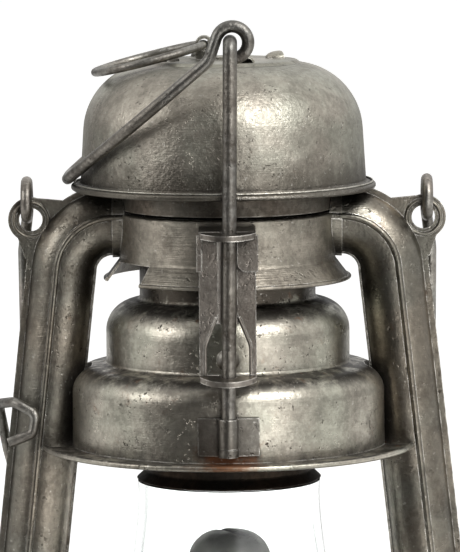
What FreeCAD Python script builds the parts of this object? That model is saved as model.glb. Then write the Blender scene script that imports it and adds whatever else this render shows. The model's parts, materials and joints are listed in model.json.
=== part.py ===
"""Hurricane lantern: a small cold-blast tubular lantern with a lifting bell.

All sizes are in millimetres. +Z is up, +X is the lantern's right side seen from the
front, and the front faces -Y. The origin is the centre of the foot, on the ground.
"""
import FreeCAD, Part
import math
import os

V = FreeCAD.Vector
X_AXIS, Y_AXIS, Z_AXIS = V(1, 0, 0), V(0, 1, 0), V(0, 0, 1)

# Sheet, wire and fits
SHEET = 0.6
TUBE_SHEET = 0.6
PRESS_GAP = 0.05
REST_GAP = 0.3
RUNNING_GAP = 0.08

# Tank
TANK_RADIUS = 57.0
TANK_HEIGHT = 38.0
TANK_SHOULDER = 11.0
TANK_CROWN = 4.0
TANK_COLLAR_FLAT = 4.0
TANK_TOP_BEND = 6.0
FOOT_WIDTH = 2.4
BASE_RECESS = 4.0

# Filler on the tank's shoulder
FILLER_ANGLE = 222.0
FILLER_INSET = 16.5
FILLER_RADIUS = 8.6
FILLER_HEIGHT = 6.0
CAP_WALL = 1.4
CAP_DEPTH = 7.0
CAP_KNURLS = 24
CAP_KNURL_RADIUS = 0.5
CAP_EDGE_ROUND = 0.9
CAP_LIP = 2.4
NECK_FOOT_DEPTH = 2.0
NECK_LIP = 1.0
GASKET_THICK = 1.0
GASKET_WIDTH = 3.0

# Air chamber round the burner
CHAMBER_RADIUS = 25.0
CHAMBER_HEIGHT = 18.4
CHAMBER_EDGE_BEND = 2.0
CHAMBER_FOOT_LEDGE = 3.0
CHAMBER_TOP_LEDGE = 1.5

# Globe and its plate
PLATE_LIFT = 4.3
PLATE_RADIUS = 31.0
PLATE_BORE = 16.0
PLATE_HOLES = 24
PLATE_HOLE_RADIUS = 1.1
PLATE_GAP = 1.4
PLATE_GUIDE = 3.0
GLOBE_HEIGHT = 61.7
GLOBE_FOOT_RADIUS = 23.0
GLOBE_BELLY_RADIUS = 28.2
GLOBE_MOUTH_RADIUS = 25.2
GLOBE_WALL = 1.8
GLOBE_BELLY_SHARE = 0.42
GLOBE_NECK_SHARE = 0.78
GLOBE_NECK_SWELL = 0.6
SPRING_COUNT = 3
SPRING_WIDTH = 4.0
SPRING_SHEET = 0.3
SPRING_BEND = 0.8
SPRING_TURN = 30.0
SPRING_PATH = ((5.0, 0.3), (0.6, 0.3), (2.6, 7.0), (4.4, 8.6))

# Bell
BELL_LIFT = 4.3
FLANGE_RADIUS = 51.7
LOWER_DRUM_RADIUS = 43.5
LOWER_DRUM_HEIGHT = 21.0
UPPER_DRUM_RADIUS = 33.5
UPPER_DRUM_HEIGHT = 38.8
NECK_RADIUS = 24.2
NECK_HEIGHT = 60.0
LOWER_DRUM_ROUND = 6.5
UPPER_DRUM_ROUND = 8.4
LOWER_STEP_RISE = 1.6
UPPER_STEP_RISE = 1.2
LOWER_STEP_ROUND = 1.0
UPPER_STEP_ROUND = 1.4
FLANGE_BEAD = 0.8
DENT_ROUND = 6.0
DENT_CLEARANCE = 0.4
DENT_FOOT, DENT_TOP = -6.0, 32.0
DENT_OUTSIDE = 80.0
SEAT_NECK_RADIUS = 23.0
SEAT_LIP_RADIUS = 25.6
SEAT_DEPTH = 10.0
SEAT_FLARE = 2.4
SEAT_HEM = 1.6
SEAT_TOP_BEND = 1.2
SEAT_FLARE_BEND = 1.4

# Collar and hood
SKIRT_RADIUS = 33.6
SKIRT_HEIGHT = 46.0
COLLAR_RADIUS = 29.6
COLLAR_FOOT_HEIGHT = 51.3
COLLAR_FOOT_BEND = 1.5
COLLAR_TOP_BEND = 0.8
SKIRT_BEAD = 0.55
BAND_HEIGHT = 63.9
BAND_RADIUS = 28.9
BAND_HOLES = 20
BAND_HOLE_RADIUS = 1.5
BAND_HOLE_RISE = 1.2
BAND_STEP = 0.3
CROWN_HEIGHT = 76.0
NOTCH_FROM, NOTCH_TO = 190.0, 225.0
SOCKET_LENGTH = 1.9
SOCKET_WALL = 0.55
CROWN_LEDGE = 1.2
CHIMNEY_RADIUS = 22.8
CHIMNEY_FOOT_HEIGHT = 47.0
CHIMNEY_TOP_HEIGHT = 92.0
RIM_RADIUS = 41.8
RIM_HEIGHT = 71.9
RIM_FOLD = 1.6
RIM_ROUND = 0.7
RIM_TOP_RISE = 0.2
RIM_TOP_BEND = 0.8
HOOD_WALL_RADIUS = 39.2
HOOD_SHOULDER_RADIUS = 37.3
HOOD_SHOULDER_HEIGHT = 103.4
HOOD_SHOULDER_ROUND = 19.0
HOOD_SHIFT = -0.9
PLATEAU_RADIUS = 21.5
PLATEAU_HEIGHT = 105.6
PLATEAU_STEP = 0.9
PLATEAU_EDGE = 1.2
PLATEAU_FOOT_BEND = 1.0
PLATEAU_TOP_BEND = 0.8
HOOD_BORE = 1.6
LOUVRE_COUNT = 4
LOUVRE_TURN = 20.0
LOUVRE_REACH = 18.6
LOUVRE_WIDTH = 6.4
LOUVRE_RISE = 2.0
LOUVRE_STRETCH = 1.25
LOUVRE_HOLLOW = 0.8
LOUVRE_MOUTH = 0.4
LOUVRE_SLOT = 1.2
LOUVRE_SETBACK = 2.0
STRUT_COUNT = 3
STRUT_WIDTH = 5.0
STRUT_SHEET = 0.4
STRUT_RISE = 9.0
STRUT_BEND = 1.2
STRUT_FOOT = 1.6
STRUT_LEAN = 0.2
STRUT_TURN = 60.0

# Side tubes
TUBE_WIDTH = 17.2
TUBE_DEPTH = 15.0
OUTER_SEAM = 1.7
INNER_SEAM = 0.6
TUBE_INSET = 0.9
TUBE_RISE = 1.2
TUBE_LEAN = 0.11
TUBE_TOP_HEIGHT = 61.4
TUBE_TOP_BEND = 14.6
TUBE_BEND_REACH = 31.6
TUBE_FOOT_BEND = 16.0
BEAD_RADIUS = 0.9
BEAD_OFFSET = 0.8
BEAD_SINK = 0.35
TUBE_ROOT = 0.8
EAR_X = 53.9
EAR_HEIGHT = 62.0
EAR_RADIUS = 6.2
EAR_HOLE_RADIUS = 3.2
EAR_RIM = 0.5
EAR_WEB = ((-2.0, 5.9), (-8.7, 5.3), (-9.2, -10.2), (1.8, -10.7), (3.6, -5.0))

# Lifting gear of the bell
ROD_RADIUS = 1.9
ROD_LEAN = 0.6
BAIL_WIRE_RADIUS = 1.55
PIVOT_HEIGHT = 112.65
REAR_PIVOT_DROP = 4.8
EYE_GAP = 0.9
EYE_SHIFT = 0.6
ROD_BEND = 2.6
ROD_END = 1.2
BAIL_SLOPE = 40.3
BAIL_DROP = 2.2
BAIL_SKEW = 1.5
BAIL_TIP_X = 43.4
FRONT_EYE_END = 161.5
REAR_EYE_END = 143.0
BAIL_EYE_START = -92.0
BAIL_SHOULDER_X = 25.0
BAIL_SHOULDER_SHARE = 0.93
BAIL_TIP_HALF = 11.0
BAIL_BENDS = (6.0, 40.0, 11.0)
BRACKET_WIDTH = 15.2
BRACKET_SHEET = 0.8
BRACKET_TOP_HEIGHT = 62.6
BRACKET_FOOT_HEIGHT = 22.8
BRACKET_LUG = 1.6
BRACKET_NOSE = 2.6
LUG_SIDE = 0.5
LUG_DROOP = 12.0
SHELF_DROOP = 6.0
ARCH_HALF_WIDTH = 5.6
ARCH_SIDE = 7.8
ARCH_RISE = 15.4
ARCH_TURN = 6.0
ARCH_EASE = 10.0
ARCH_BEAD = 0.45
FLAP_WIDTH = 5.6
FLAP_LENGTH = 9.0
FLAP_ROUND = 2.6
STUD_RADIUS = 3.2
STUD_STEM = 1.5
STUD_HEIGHT = 26.8
STUD_DOME = 1.2
STUD_TAIL = 0.8
CLIP_WIDTH = 16.5
CLIP_FOOT_HEIGHT = 2.4
CLIP_HEIGHT = 10.2
CLIP_SHEET = 0.7
FOOT_FLANGE = 0.8
FOOT_HEIGHT = 2.1
FOOT_ROOM = 2.2

# Hanging ring
RING_RADIUS = 15.4
RING_WIRE_RADIUS = 1.1
RING_HINGE_X = -5.0
RING_HINGE_RISE = 4.2
RING_TILT = 14.0
RING_EYE_PLAY = 0.5
RING_EYE_WALL = 0.8
RING_STRAP_WIDTH = 5.0
RING_STRAP_SHEET = 0.8
RING_STRAP_BACK = 2.4
RING_STRAP_END = 4.5
RIVET_X = 2.6
RIVET_RADIUS = 1.5
RIVET_HEIGHT = 1.2
RIVET_PIN = 1.4
RIVET_SINK = 2.4
RIVET_TAIL_RADIUS = 2.6
RIVET_TAIL = 0.7

# Carrying bail
CARRY_WIRE_RADIUS = 1.55
CARRY_EYE_RADIUS = 4.95
CARRY_EYE_X = 54.9
CARRY_ARM_X = 56.3
CARRY_LENGTH = 142.7
CARRY_CORNER = 24.0
CARRY_EYE_START = -108.0
CARRY_ARM_BEND = 12.0
CARRY_NECK = 5.0
CARRY_ARM_START = 16.0

# Globe-lift lever
LEVER_WIRE_RADIUS = 1.4
LEVER_X = -36.0
LEVER_Y = 14.0
CRANK = 7.2
CRANK_SWING = 35.0
LEVER_STEM_Y = 10.6
LEVER_END = 3.8
LEVER_DROP = 1.4
LEVER_PATH = ((-56.5, 10.6, -22.0), (-61.4, 8.6, -3.0), (-63.6, 3.6, 10.6), (-58.6, -9.0, 12.8),
              (-52.6, -10.6, 9.6), (-53.6, -10.6, 4.2), (-60.2, -10.6, 1.6))
LEVER_BENDS = (1.9, 1.9, 1.9, 12.0, 6.0, 4.2, 4.2, 2.6, 2.0)
LEVER_PLATE = 1.6
LEVER_EYE_RADIUS = 3.0
LEVER_PLATE_FOOT = 3.0
LEVER_PLATE_ROOT = -18.0
LEVER_PLATE_DEPTH = 8.6

# Burner
BURNER_TURN = 35.0
CONE_RADIUS = 13.0
CONE_DROP = 24.5
BURNER_COLLAR_RADIUS = 14.0
WICK_WIDTH = 10.0
WICK_THICK = 2.0
WICK_TUBE_SHEET = 0.5
WHEEL_RADIUS = 3.4
WHEEL_TEETH = 14
SHAFT_RADIUS = 0.9
SHAFT_GAP = 0.6
KNOB_RADIUS = 8.0
KNOB_REACH = 47.0
KNOB_KNURLS = 20
CONE_HOLES = 20
CONE_HOLE_RADIUS = 1.1
CONE_FOOT_RISE = 4.2
FLAME_SLOT = 3.8
FLAME_SLOT_PLAY = 1.6
FLAME_SLOT_DEPTH = 12.0
BURNER_THREAD = 1.6
BURNER_RISE = 3.0
BURNER_LID = 1.0
BURNER_FLANGE = 1.8
BURNER_SINK = 4.0
WICK_DROP = 3.6
WICK_TUBE_DROP = 5.5
WICK_FOOT = 10.0
WHEEL_PLACE = 2.6
WHEEL_THICK = 1.2
TOOTH_DEPTH = 0.7
KNOB_THICK = 2.2
KNOB_HUB = 2.4
KNOB_KNURL_RADIUS = 0.6
SHAFT_SHARE = 0.62

# Levels and places that follow from the sizes above
FILLER_REACH = TANK_RADIUS - FILLER_INSET
CHAMBER_FOOT = TANK_HEIGHT
CHAMBER_TOP = CHAMBER_FOOT + CHAMBER_HEIGHT
PLATE_Z = CHAMBER_TOP + PLATE_GAP
GLOBE_Z = PLATE_Z + SHEET + REST_GAP
FLANGE_Z = GLOBE_Z + GLOBE_HEIGHT + REST_GAP + SEAT_DEPTH
TUBE_OUTER_EDGE = TUBE_WIDTH / 2 - TUBE_INSET + OUTER_SEAM
TUBE_INNER_EDGE = TUBE_WIDTH / 2 + TUBE_INSET + INNER_SEAM
TUBE_FOOT_Z = TANK_HEIGHT + TUBE_OUTER_EDGE
ROD_Y = LOWER_DRUM_RADIUS + ROD_RADIUS + RUNNING_GAP
EYE_RADIUS = ROD_RADIUS + EYE_GAP + BAIL_WIRE_RADIUS
EYE_Y = ROD_Y - ROD_BEND - BAIL_WIRE_RADIUS
PIVOT_Z = FLANGE_Z + PIVOT_HEIGHT
EYE_X = (PIVOT_HEIGHT - CLIP_FOOT_HEIGHT) * math.tan(math.radians(ROD_LEAN)) + EYE_SHIFT
TRAVEL = BELL_LIFT + PLATE_LIFT
EAR_Z = FLANGE_Z + EAR_HEIGHT
CARRY_Z = EAR_Z + CARRY_EYE_RADIUS + 0.5
STRAP_Y = LOWER_DRUM_RADIUS + REST_GAP
WHEEL_X = WICK_THICK / 2 + WHEEL_RADIUS + 0.15


def corner(before, at, after, radius):
    """Return the two ends and the middle of the arc that rounds one corner."""
    into = (before - at).normalize()
    out = (after - at).normalize()
    half = into.getAngle(out) / 2
    reach = radius / math.tan(half)
    middle = (into + out).normalize()
    depth = radius / math.sin(half) - radius
    return at + into * reach, at + middle * depth, at + out * reach


def rounded_path(points, radii):
    """Join points by straight runs, with an arc of the given radius at each inner point."""
    edges = []
    start = points[0]
    for index in range(1, len(points) - 1):
        radius = radii[index - 1]
        if radius <= 0:
            edges.append(Part.LineSegment(start, points[index]).toShape())
            start = points[index]
            continue
        first, middle, last = corner(points[index - 1], points[index], points[index + 1], radius)
        if (first - start).Length > 1e-4:
            edges.append(Part.LineSegment(start, first).toShape())
        edges.append(Part.Arc(first, middle, last).toShape())
        start = last
    if (points[-1] - start).Length > 1e-4:
        edges.append(Part.LineSegment(start, points[-1]).toShape())
    return Part.Wire(edges)


def wire_rod(points, radii, radius):
    """Sweep a round wire along a rounded path."""
    path = rounded_path(points, radii)
    direction = path.OrderedEdges[0].tangentAt(path.OrderedEdges[0].FirstParameter)
    circle = Part.Wire(Part.makeCircle(radius, points[0], direction))
    return Part.Solid(path.makePipeShell([circle], True, False))


def lines(*points):
    """Return the straight edges from point to point."""
    return [Part.LineSegment(first, last).toShape() for first, last in zip(points, points[1:])]


def solid_of(shape):
    """Return a shape's single solid."""
    return shape.removeSplitter().Solids[0]


def group_of(shapes):
    """Return separate solids as one group."""
    return Part.makeCompound([shape.Solids[0] for shape in shapes])


def offset_points(profile, distance):
    """Move a rounded profile sideways, to the left of its direction."""
    count = len(profile)
    moved = []
    for index, (radius, height, bend) in enumerate(profile):
        at = V(radius, height, 0)
        normals = []
        steps = []
        if index > 0:
            steps.append(at - V(profile[index - 1][0], profile[index - 1][1], 0))
        if index < count - 1:
            steps.append(V(profile[index + 1][0], profile[index + 1][1], 0) - at)
        for step in steps:
            step.normalize()
            normals.append(V(-step.y, step.x, 0))
        if len(normals) == 1:
            shift = normals[0] * distance
            turn = 0
        else:
            middle = (normals[0] + normals[1]).normalize()
            shift = middle * (distance / middle.dot(normals[0]))
            turn = 1 if steps[0].cross(steps[1]).z > 0 else -1
        new_bend = max(bend - turn * distance, 0) if bend > 0 else 0
        moved.append((at.x + shift.x, at.y + shift.y, new_bend))
    return moved


def profile_wire(profile):
    """Draw a rounded profile of (radius, height, bend) in the XZ plane."""
    points = [V(radius, 0, height) for radius, height, bend in profile]
    return rounded_path(points, [bend for radius, height, bend in profile[1:-1]])


def spun_sheet(profile, thickness):
    """Spin a sheet about Z; its thickness lies to the left of the profile's direction."""
    outer = profile_wire(profile)
    inner = profile_wire(offset_points(profile, thickness))
    edges = outer.Edges + inner.Edges
    for index in (0, -1):
        edges += lines(outer.OrderedVertexes[index].Point, inner.OrderedVertexes[index].Point)
    face = Part.Face(Part.Wire(Part.__sortEdges__(edges)))
    return Part.Solid(face.revolve(V(0, 0, 0), Z_AXIS, 360))


def spun_solid(profile):
    """Spin the area between a rounded profile and the Z axis."""
    first, last = [V(radius, 0, height) for radius, height, bend in (profile[0], profile[-1])]
    closing = lines(last, V(0, 0, last.z), V(0, 0, first.z), first)
    face = Part.Face(Part.Wire(Part.__sortEdges__(profile_wire(profile).Edges + closing)))
    return Part.Solid(face.revolve(V(0, 0, 0), Z_AXIS, 360))


def ring(outer, inner, foot, height):
    """Make a plain ring about Z."""
    body = Part.makeCylinder(outer, height, V(0, 0, foot))
    return body.cut(Part.makeCylinder(inner, height + 2, V(0, 0, foot - 1)))


def box(x_range, y_range, z_range):
    """Make a box from its limits."""
    size = [high - low for low, high in (x_range, y_range, z_range)]
    return Part.makeBox(size[0], size[1], size[2], V(x_range[0], y_range[0], z_range[0]))


def turned(shape, angle):
    """Return a copy turned about Z."""
    copy = shape.copy()
    copy.rotate(V(0, 0, 0), Z_AXIS, angle)
    return copy


def polar(reach, angle, height):
    """Give the point at a distance and angle from the Z axis."""
    return V(reach * math.cos(math.radians(angle)), reach * math.sin(math.radians(angle)), height)


def tube_line_x(height):
    """Give the x of the tube's centre line, on its straight leaning run."""
    top_x = TUBE_BEND_REACH + TUBE_TOP_BEND
    bend_z = FLANGE_Z + TUBE_TOP_HEIGHT - TUBE_TOP_BEND
    return top_x + (bend_z - height) * TUBE_LEAN


def tube_points(offset=0.0):
    """List the corners of the tube's centre line, or of a line beside it."""
    top_z = FLANGE_Z + TUBE_TOP_HEIGHT + offset
    foot_z = TUBE_FOOT_Z - offset
    top = V(tube_line_x(top_z) + offset, 0, top_z)
    foot = V(tube_line_x(foot_z) + offset, 0, foot_z)
    start = V(COLLAR_RADIUS * TUBE_ROOT, 0, top_z + TUBE_RISE)
    end = V(CHAMBER_RADIUS * TUBE_ROOT, 0, foot_z)
    return [start, top, foot, end]


def section_point(across, out):
    """Place a point of the tube's section at the start of its centre line."""
    start = tube_points()[0]
    return V(start.x, out, start.z + across)


def seam_strips(grow, sheet):
    """List the edges of both seam strips' outlines, inner strip first, for one face."""
    at = section_point
    low, high = -TUBE_WIDTH / 2 - TUBE_INSET - grow, TUBE_WIDTH / 2 - TUBE_INSET + grow
    low_edge, high_edge = low - INNER_SEAM, high + OUTER_SEAM
    return (at(low, sheet), at(low_edge, sheet), at(high_edge, sheet), at(high, sheet))


def along_tube(edges):
    """Sweep a section along the tube's rounded centre line."""
    wire = Part.Wire(Part.__sortEdges__(edges))
    path = rounded_path(tube_points(), [TUBE_TOP_BEND, TUBE_FOOT_BEND])
    return Part.Solid(path.makePipeShell([wire], True, False))


def half_tube(sign):
    """Sweep one half shell of a side tube, with its seam strips, on the +X side."""
    at = section_point
    sheet = sign * TUBE_SHEET
    crest = sign * TUBE_DEPTH / 2
    low, low_edge, high_edge, high = seam_strips(0, sheet)
    low_flat, high_flat = [V(point.x, 0, point.z) for point in (low_edge, high_edge)]
    low_in = at(-TUBE_WIDTH / 2 - TUBE_INSET + TUBE_SHEET, 0)
    high_in = at(TUBE_WIDTH / 2 - TUBE_INSET - TUBE_SHEET, 0)
    outside = Part.Arc(low, at(-TUBE_INSET, crest), high).toShape()
    inside = Part.Arc(low_in, at(-TUBE_INSET, crest - sheet), high_in).toShape()
    strips = lines(low, low_edge, low_flat, low_in) + lines(high_in, high_flat, high_edge, high)
    return along_tube([outside, inside] + strips)


def tube_envelope(grow):
    """Sweep the filled outer shape of both halves, grown all round."""
    edges = []
    corners = []
    for sign in (-1, 1):
        low, low_edge, high_edge, high = seam_strips(grow, sign * (TUBE_SHEET + grow))
        crest = section_point(-TUBE_INSET, sign * (TUBE_DEPTH / 2 + grow))
        edges.append(Part.Arc(low, crest, high).toShape())
        edges += lines(low, low_edge) + lines(high, high_edge)
        corners.append((low_edge, high_edge))
    for first, last in zip(corners[0], corners[1]):
        edges += lines(first, last)
    return along_tube(edges)


def tube_bead(sign, grow=0.0):
    """Make the raised bead that runs down one face of a tube, or its grown cutter."""
    depth = sign * (TUBE_DEPTH / 2 - BEAD_RADIUS * BEAD_SINK)
    points = [V(point.x, depth, point.z) for point in tube_points(BEAD_OFFSET)]
    bends = [TUBE_TOP_BEND + BEAD_OFFSET, TUBE_FOOT_BEND + BEAD_OFFSET]
    return wire_rod(points, bends, BEAD_RADIUS + grow)


def ear_plate(sign):
    """Make the flattened ear that holds the carrying bail, as one layer of sheet.

    The front layer has the raised rim round the hole.
    """
    ear = V(EAR_X, 0, EAR_Z)
    depth = sign * TUBE_SHEET
    plate = Part.makeCylinder(EAR_RADIUS, TUBE_SHEET, ear, V(0, sign, 0))
    corners = [ear + V(across, 0, up) for across, up in EAR_WEB]
    plate = plate.fuse(Part.Face(Part.makePolygon(corners + [corners[0]])).extrude(V(0, depth, 0)))
    if sign < 0:
        middle = (EAR_RADIUS + EAR_HOLE_RADIUS) / 2
        plate = plate.fuse(Part.makeTorus(middle, EAR_RIM, ear + V(0, depth, 0), Y_AXIS))
    return plate


def tube_shell(side, sign):
    """Build one pressed half of a side tube with its bead and ear layer."""
    plate = ear_plate(sign).cut(tube_envelope(-TUBE_SHEET / 2))
    shell = half_tube(sign).fuse([plate, tube_bead(sign)])
    half_space = box((0, EAR_X * 2), sorted((0.0, sign * TUBE_DEPTH)), (0, PIVOT_Z))
    shell = shell.common(half_space)
    ear_front = V(EAR_X, -TUBE_DEPTH / 2, EAR_Z)
    shell = shell.cut(Part.makeCylinder(EAR_HOLE_RADIUS, TUBE_DEPTH, ear_front, Y_AXIS))
    shell = shell.cut(Part.makeCylinder(COLLAR_RADIUS - SHEET, CROWN_HEIGHT, V(0, 0, FLANGE_Z + 20)))
    shell = shell.cut(Part.makeCylinder(CHAMBER_RADIUS - SHEET, TANK_HEIGHT, V(0, 0, CHAMBER_FOOT - 2)))
    shell = max(shell.Solids, key=lambda solid: solid.Volume)
    if side < 0:
        shell = shell.mirror(V(0, 0, 0), X_AXIS)
    return shell


def both_envelopes(grow):
    """Return the grown tube shapes of both sides, with their beads."""
    right = tube_envelope(grow).fuse([tube_bead(-1, grow), tube_bead(1, grow)])
    return [right, right.mirror(V(0, 0, 0), X_AXIS)]


def tank_shell():
    """Draw the tank's wall and rounded top from one sheet, open at the foot."""
    profile = [
        (TANK_RADIUS, 0, 0),
        (TANK_RADIUS, TANK_HEIGHT - TANK_CROWN, TANK_SHOULDER),
        (CHAMBER_RADIUS + TANK_COLLAR_FLAT, TANK_HEIGHT, TANK_TOP_BEND),
        (BURNER_COLLAR_RADIUS + RUNNING_GAP, TANK_HEIGHT, 0),
    ]
    shell = spun_sheet(profile, SHEET)
    centre = polar(FILLER_REACH, FILLER_ANGLE, 0)
    return shell.cut(Part.makeCylinder(FILLER_RADIUS - SHEET, 60, centre + V(0, 0, 10)))


def tank_base():
    """Make the recessed base pan, with the foot rim folded round the wall's edge."""
    inside = TANK_RADIUS - SHEET - PRESS_GAP
    profile = [
        (inside, 0, 0),
        (inside - FOOT_WIDTH, 0, 1.0),
        (inside - FOOT_WIDTH - 1.0, BASE_RECESS, 1.5),
        (0.0, BASE_RECESS, 0),
    ]
    pan = profile_wire(profile)
    top = profile_wire([(radius, height + SHEET, bend) for radius, height, bend in profile])
    edges = pan.Edges + top.Edges + lines(pan.OrderedVertexes[0].Point, top.OrderedVertexes[0].Point)
    edges += lines(V(0, 0, BASE_RECESS), V(0, 0, BASE_RECESS + SHEET))
    face = Part.Face(Part.Wire(Part.__sortEdges__(edges)))
    return Part.Solid(face.revolve(V(0, 0, 0), Z_AXIS, 360))


def shoulder_height(reach):
    """Give the height of the tank's top at a distance from the axis."""
    flat = CHAMBER_RADIUS + TANK_COLLAR_FLAT
    return TANK_HEIGHT - TANK_CROWN * max(reach - flat, 0) / (TANK_RADIUS - flat)


def filler_neck():
    """Make the short neck that stands on the tank's shoulder."""
    centre = polar(FILLER_REACH, FILLER_ANGLE, 0)
    foot = shoulder_height(FILLER_REACH + FILLER_RADIUS) - NECK_FOOT_DEPTH
    top = shoulder_height(FILLER_REACH) + FILLER_HEIGHT
    outer = Part.makeCylinder(FILLER_RADIUS - SHEET - PRESS_GAP, top - foot, centre + V(0, 0, foot))
    bore = Part.makeCylinder(FILLER_RADIUS - NECK_LIP - SHEET, TANK_HEIGHT, centre + V(0, 0, foot - 1))
    lip = Part.makeCylinder(FILLER_RADIUS, NECK_LIP, centre + V(0, 0, top - NECK_LIP))
    return outer.fuse(lip).cut(bore)


def cap_gasket():
    """Make the sealing ring between the neck and the cap."""
    centre = polar(FILLER_REACH, FILLER_ANGLE, 0)
    foot = shoulder_height(FILLER_REACH) + FILLER_HEIGHT
    washer = ring(FILLER_RADIUS, FILLER_RADIUS - GASKET_WIDTH, foot, GASKET_THICK)
    washer.translate(centre)
    return washer


def filler_cap():
    """Make the knurled screw cap that covers the neck."""
    centre = polar(FILLER_REACH, FILLER_ANGLE, 0)
    foot = shoulder_height(FILLER_REACH) + FILLER_HEIGHT + GASKET_THICK + RUNNING_GAP
    outer = FILLER_RADIUS + CAP_WALL + REST_GAP
    low = foot - CAP_DEPTH + CAP_LIP
    cap = Part.makeCylinder(outer, foot + CAP_WALL - low, centre + V(0, 0, low))
    top_edges = [edge for edge in cap.Edges if abs(edge.CenterOfMass.z - foot - CAP_WALL) < 1e-6]
    cap = cap.makeFillet(CAP_EDGE_ROUND, top_edges)
    cap = cap.cut(Part.makeCylinder(FILLER_RADIUS + REST_GAP, foot - low, centre + V(0, 0, low)))
    knurl_reach = outer + CAP_KNURL_RADIUS * 0.3
    for index in range(CAP_KNURLS):
        groove = Part.makeCylinder(CAP_KNURL_RADIUS, foot - low - SHEET, V(knurl_reach, 0, low))
        groove.rotate(V(0, 0, 0), Z_AXIS, index * 360.0 / CAP_KNURLS)
        groove.translate(centre)
        cap = cap.cut(groove)
    return cap


def air_chamber(envelopes):
    """Make the chamber that the tubes feed, open above round the burner."""
    profile = [
        (BURNER_COLLAR_RADIUS + CHAMBER_FOOT_LEDGE, CHAMBER_FOOT + PRESS_GAP, 0),
        (CHAMBER_RADIUS, CHAMBER_FOOT + PRESS_GAP, CHAMBER_EDGE_BEND),
        (CHAMBER_RADIUS, CHAMBER_TOP, CHAMBER_EDGE_BEND),
        (PLATE_BORE + CHAMBER_TOP_LEDGE, CHAMBER_TOP, 0),
    ]
    chamber = spun_sheet(profile, SHEET)
    for envelope in envelopes:
        chamber = chamber.cut(envelope)
    start = V(WHEEL_X, -CHAMBER_RADIUS / 2, shaft_height())
    hole = Part.makeCylinder(SHAFT_RADIUS + SHAFT_GAP, CHAMBER_RADIUS, start, -Y_AXIS)
    return chamber.cut(turned(hole, BURNER_TURN))


def shaft_height():
    """Give the height of the wick shaft."""
    return CHAMBER_FOOT + CHAMBER_HEIGHT * SHAFT_SHARE


def globe_plate():
    """Make the perforated plate that carries the globe and slides over the chamber."""
    disc = ring(PLATE_RADIUS, PLATE_BORE, PLATE_Z, SHEET)
    low = plate_skirt_foot()
    skirt = ring(PLATE_RADIUS, PLATE_RADIUS - SHEET, low, PLATE_Z - low + SHEET)
    inside = CHAMBER_RADIUS + REST_GAP
    guide = ring(inside + SHEET, inside, PLATE_Z - PLATE_GUIDE, PLATE_GUIDE)
    plate = disc.fuse([skirt, guide])
    mid = (GLOBE_FOOT_RADIUS - GLOBE_WALL + PLATE_BORE) / 2
    for index in range(PLATE_HOLES):
        spot = polar(mid, index * 360.0 / PLATE_HOLES, PLATE_Z - 1)
        plate = plate.cut(Part.makeCylinder(PLATE_HOLE_RADIUS, 3, spot))
    for envelope in both_envelopes(REST_GAP):
        plate = plate.cut(envelope)
    return solid_of(plate)


def plate_skirt_foot():
    """Give the height of the plate's lower edge, which the lever's crank lifts."""
    return crank_tip()[1] + LEVER_WIRE_RADIUS + REST_GAP


def crank_tip():
    """Give the rest x and z of the crank's end, half a swing below its axle."""
    half = math.radians(CRANK_SWING / 2)
    return LEVER_X + CRANK * math.cos(half), lever_height() - CRANK * math.sin(half)


def lever_height():
    """Give the height of the lever's axle."""
    return CHAMBER_TOP - LEVER_DROP


def globe_springs():
    """Make the prongs on the plate that grip the foot of the globe."""
    prongs = []
    grip = GLOBE_FOOT_RADIUS + REST_GAP
    foot = PLATE_Z + SHEET
    for index in range(SPRING_COUNT):
        points = [V(grip + out, 0, foot + up) for out, up in SPRING_PATH]
        strip = rounded_path(points, [SPRING_BEND, SPRING_BEND]).extrude(V(0, SPRING_WIDTH, 0))
        strip.translate(V(0, -SPRING_WIDTH / 2, 0))
        prong = strip.makeOffsetShape(SPRING_SHEET, 1e-3, fill=True)
        prongs.append(turned(prong, SPRING_TURN + index * 360.0 / SPRING_COUNT))
    return group_of(prongs)


def globe():
    """Blow the clear glass globe as one wall of revolution."""
    low = GLOBE_Z
    top = GLOBE_Z + GLOBE_HEIGHT
    outer = [
        V(GLOBE_FOOT_RADIUS, 0, low),
        V(GLOBE_BELLY_RADIUS, 0, low + GLOBE_HEIGHT * GLOBE_BELLY_SHARE),
        V(GLOBE_MOUTH_RADIUS + GLOBE_NECK_SWELL, 0, low + GLOBE_HEIGHT * GLOBE_NECK_SHARE),
        V(GLOBE_MOUTH_RADIUS, 0, top),
    ]
    inner = [V(point.x - GLOBE_WALL, 0, point.z) for point in outer]
    curves = []
    for points in (outer, inner):
        curve = Part.BSplineCurve()
        curve.interpolate(points)
        curves.append(curve.toShape())
    ends = lines(outer[0], inner[0]) + lines(outer[-1], inner[-1])
    face = Part.Face(Part.Wire(Part.__sortEdges__(curves + ends)))
    return Part.Solid(face.revolve(V(0, 0, 0), Z_AXIS, 360))


def bell_outline(shrink):
    """List the bell's rounded outline above its flange, shrunk for the inner face."""
    low = FLANGE_Z - shrink
    lower, upper, neck = [radius - shrink for radius in (LOWER_DRUM_RADIUS, UPPER_DRUM_RADIUS, NECK_RADIUS)]
    lower_top = low + LOWER_DRUM_HEIGHT
    upper_top = low + UPPER_DRUM_HEIGHT
    return [
        (lower, FLANGE_Z - 1.0, 0),
        (lower, lower_top, LOWER_DRUM_ROUND - shrink),
        (upper, lower_top + LOWER_STEP_RISE, LOWER_STEP_ROUND + shrink),
        (upper, upper_top, UPPER_DRUM_ROUND - shrink),
        (neck, upper_top + UPPER_STEP_RISE, UPPER_STEP_ROUND + shrink),
        (neck, FLANGE_Z + NECK_HEIGHT + shrink, 0),
    ]


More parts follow.
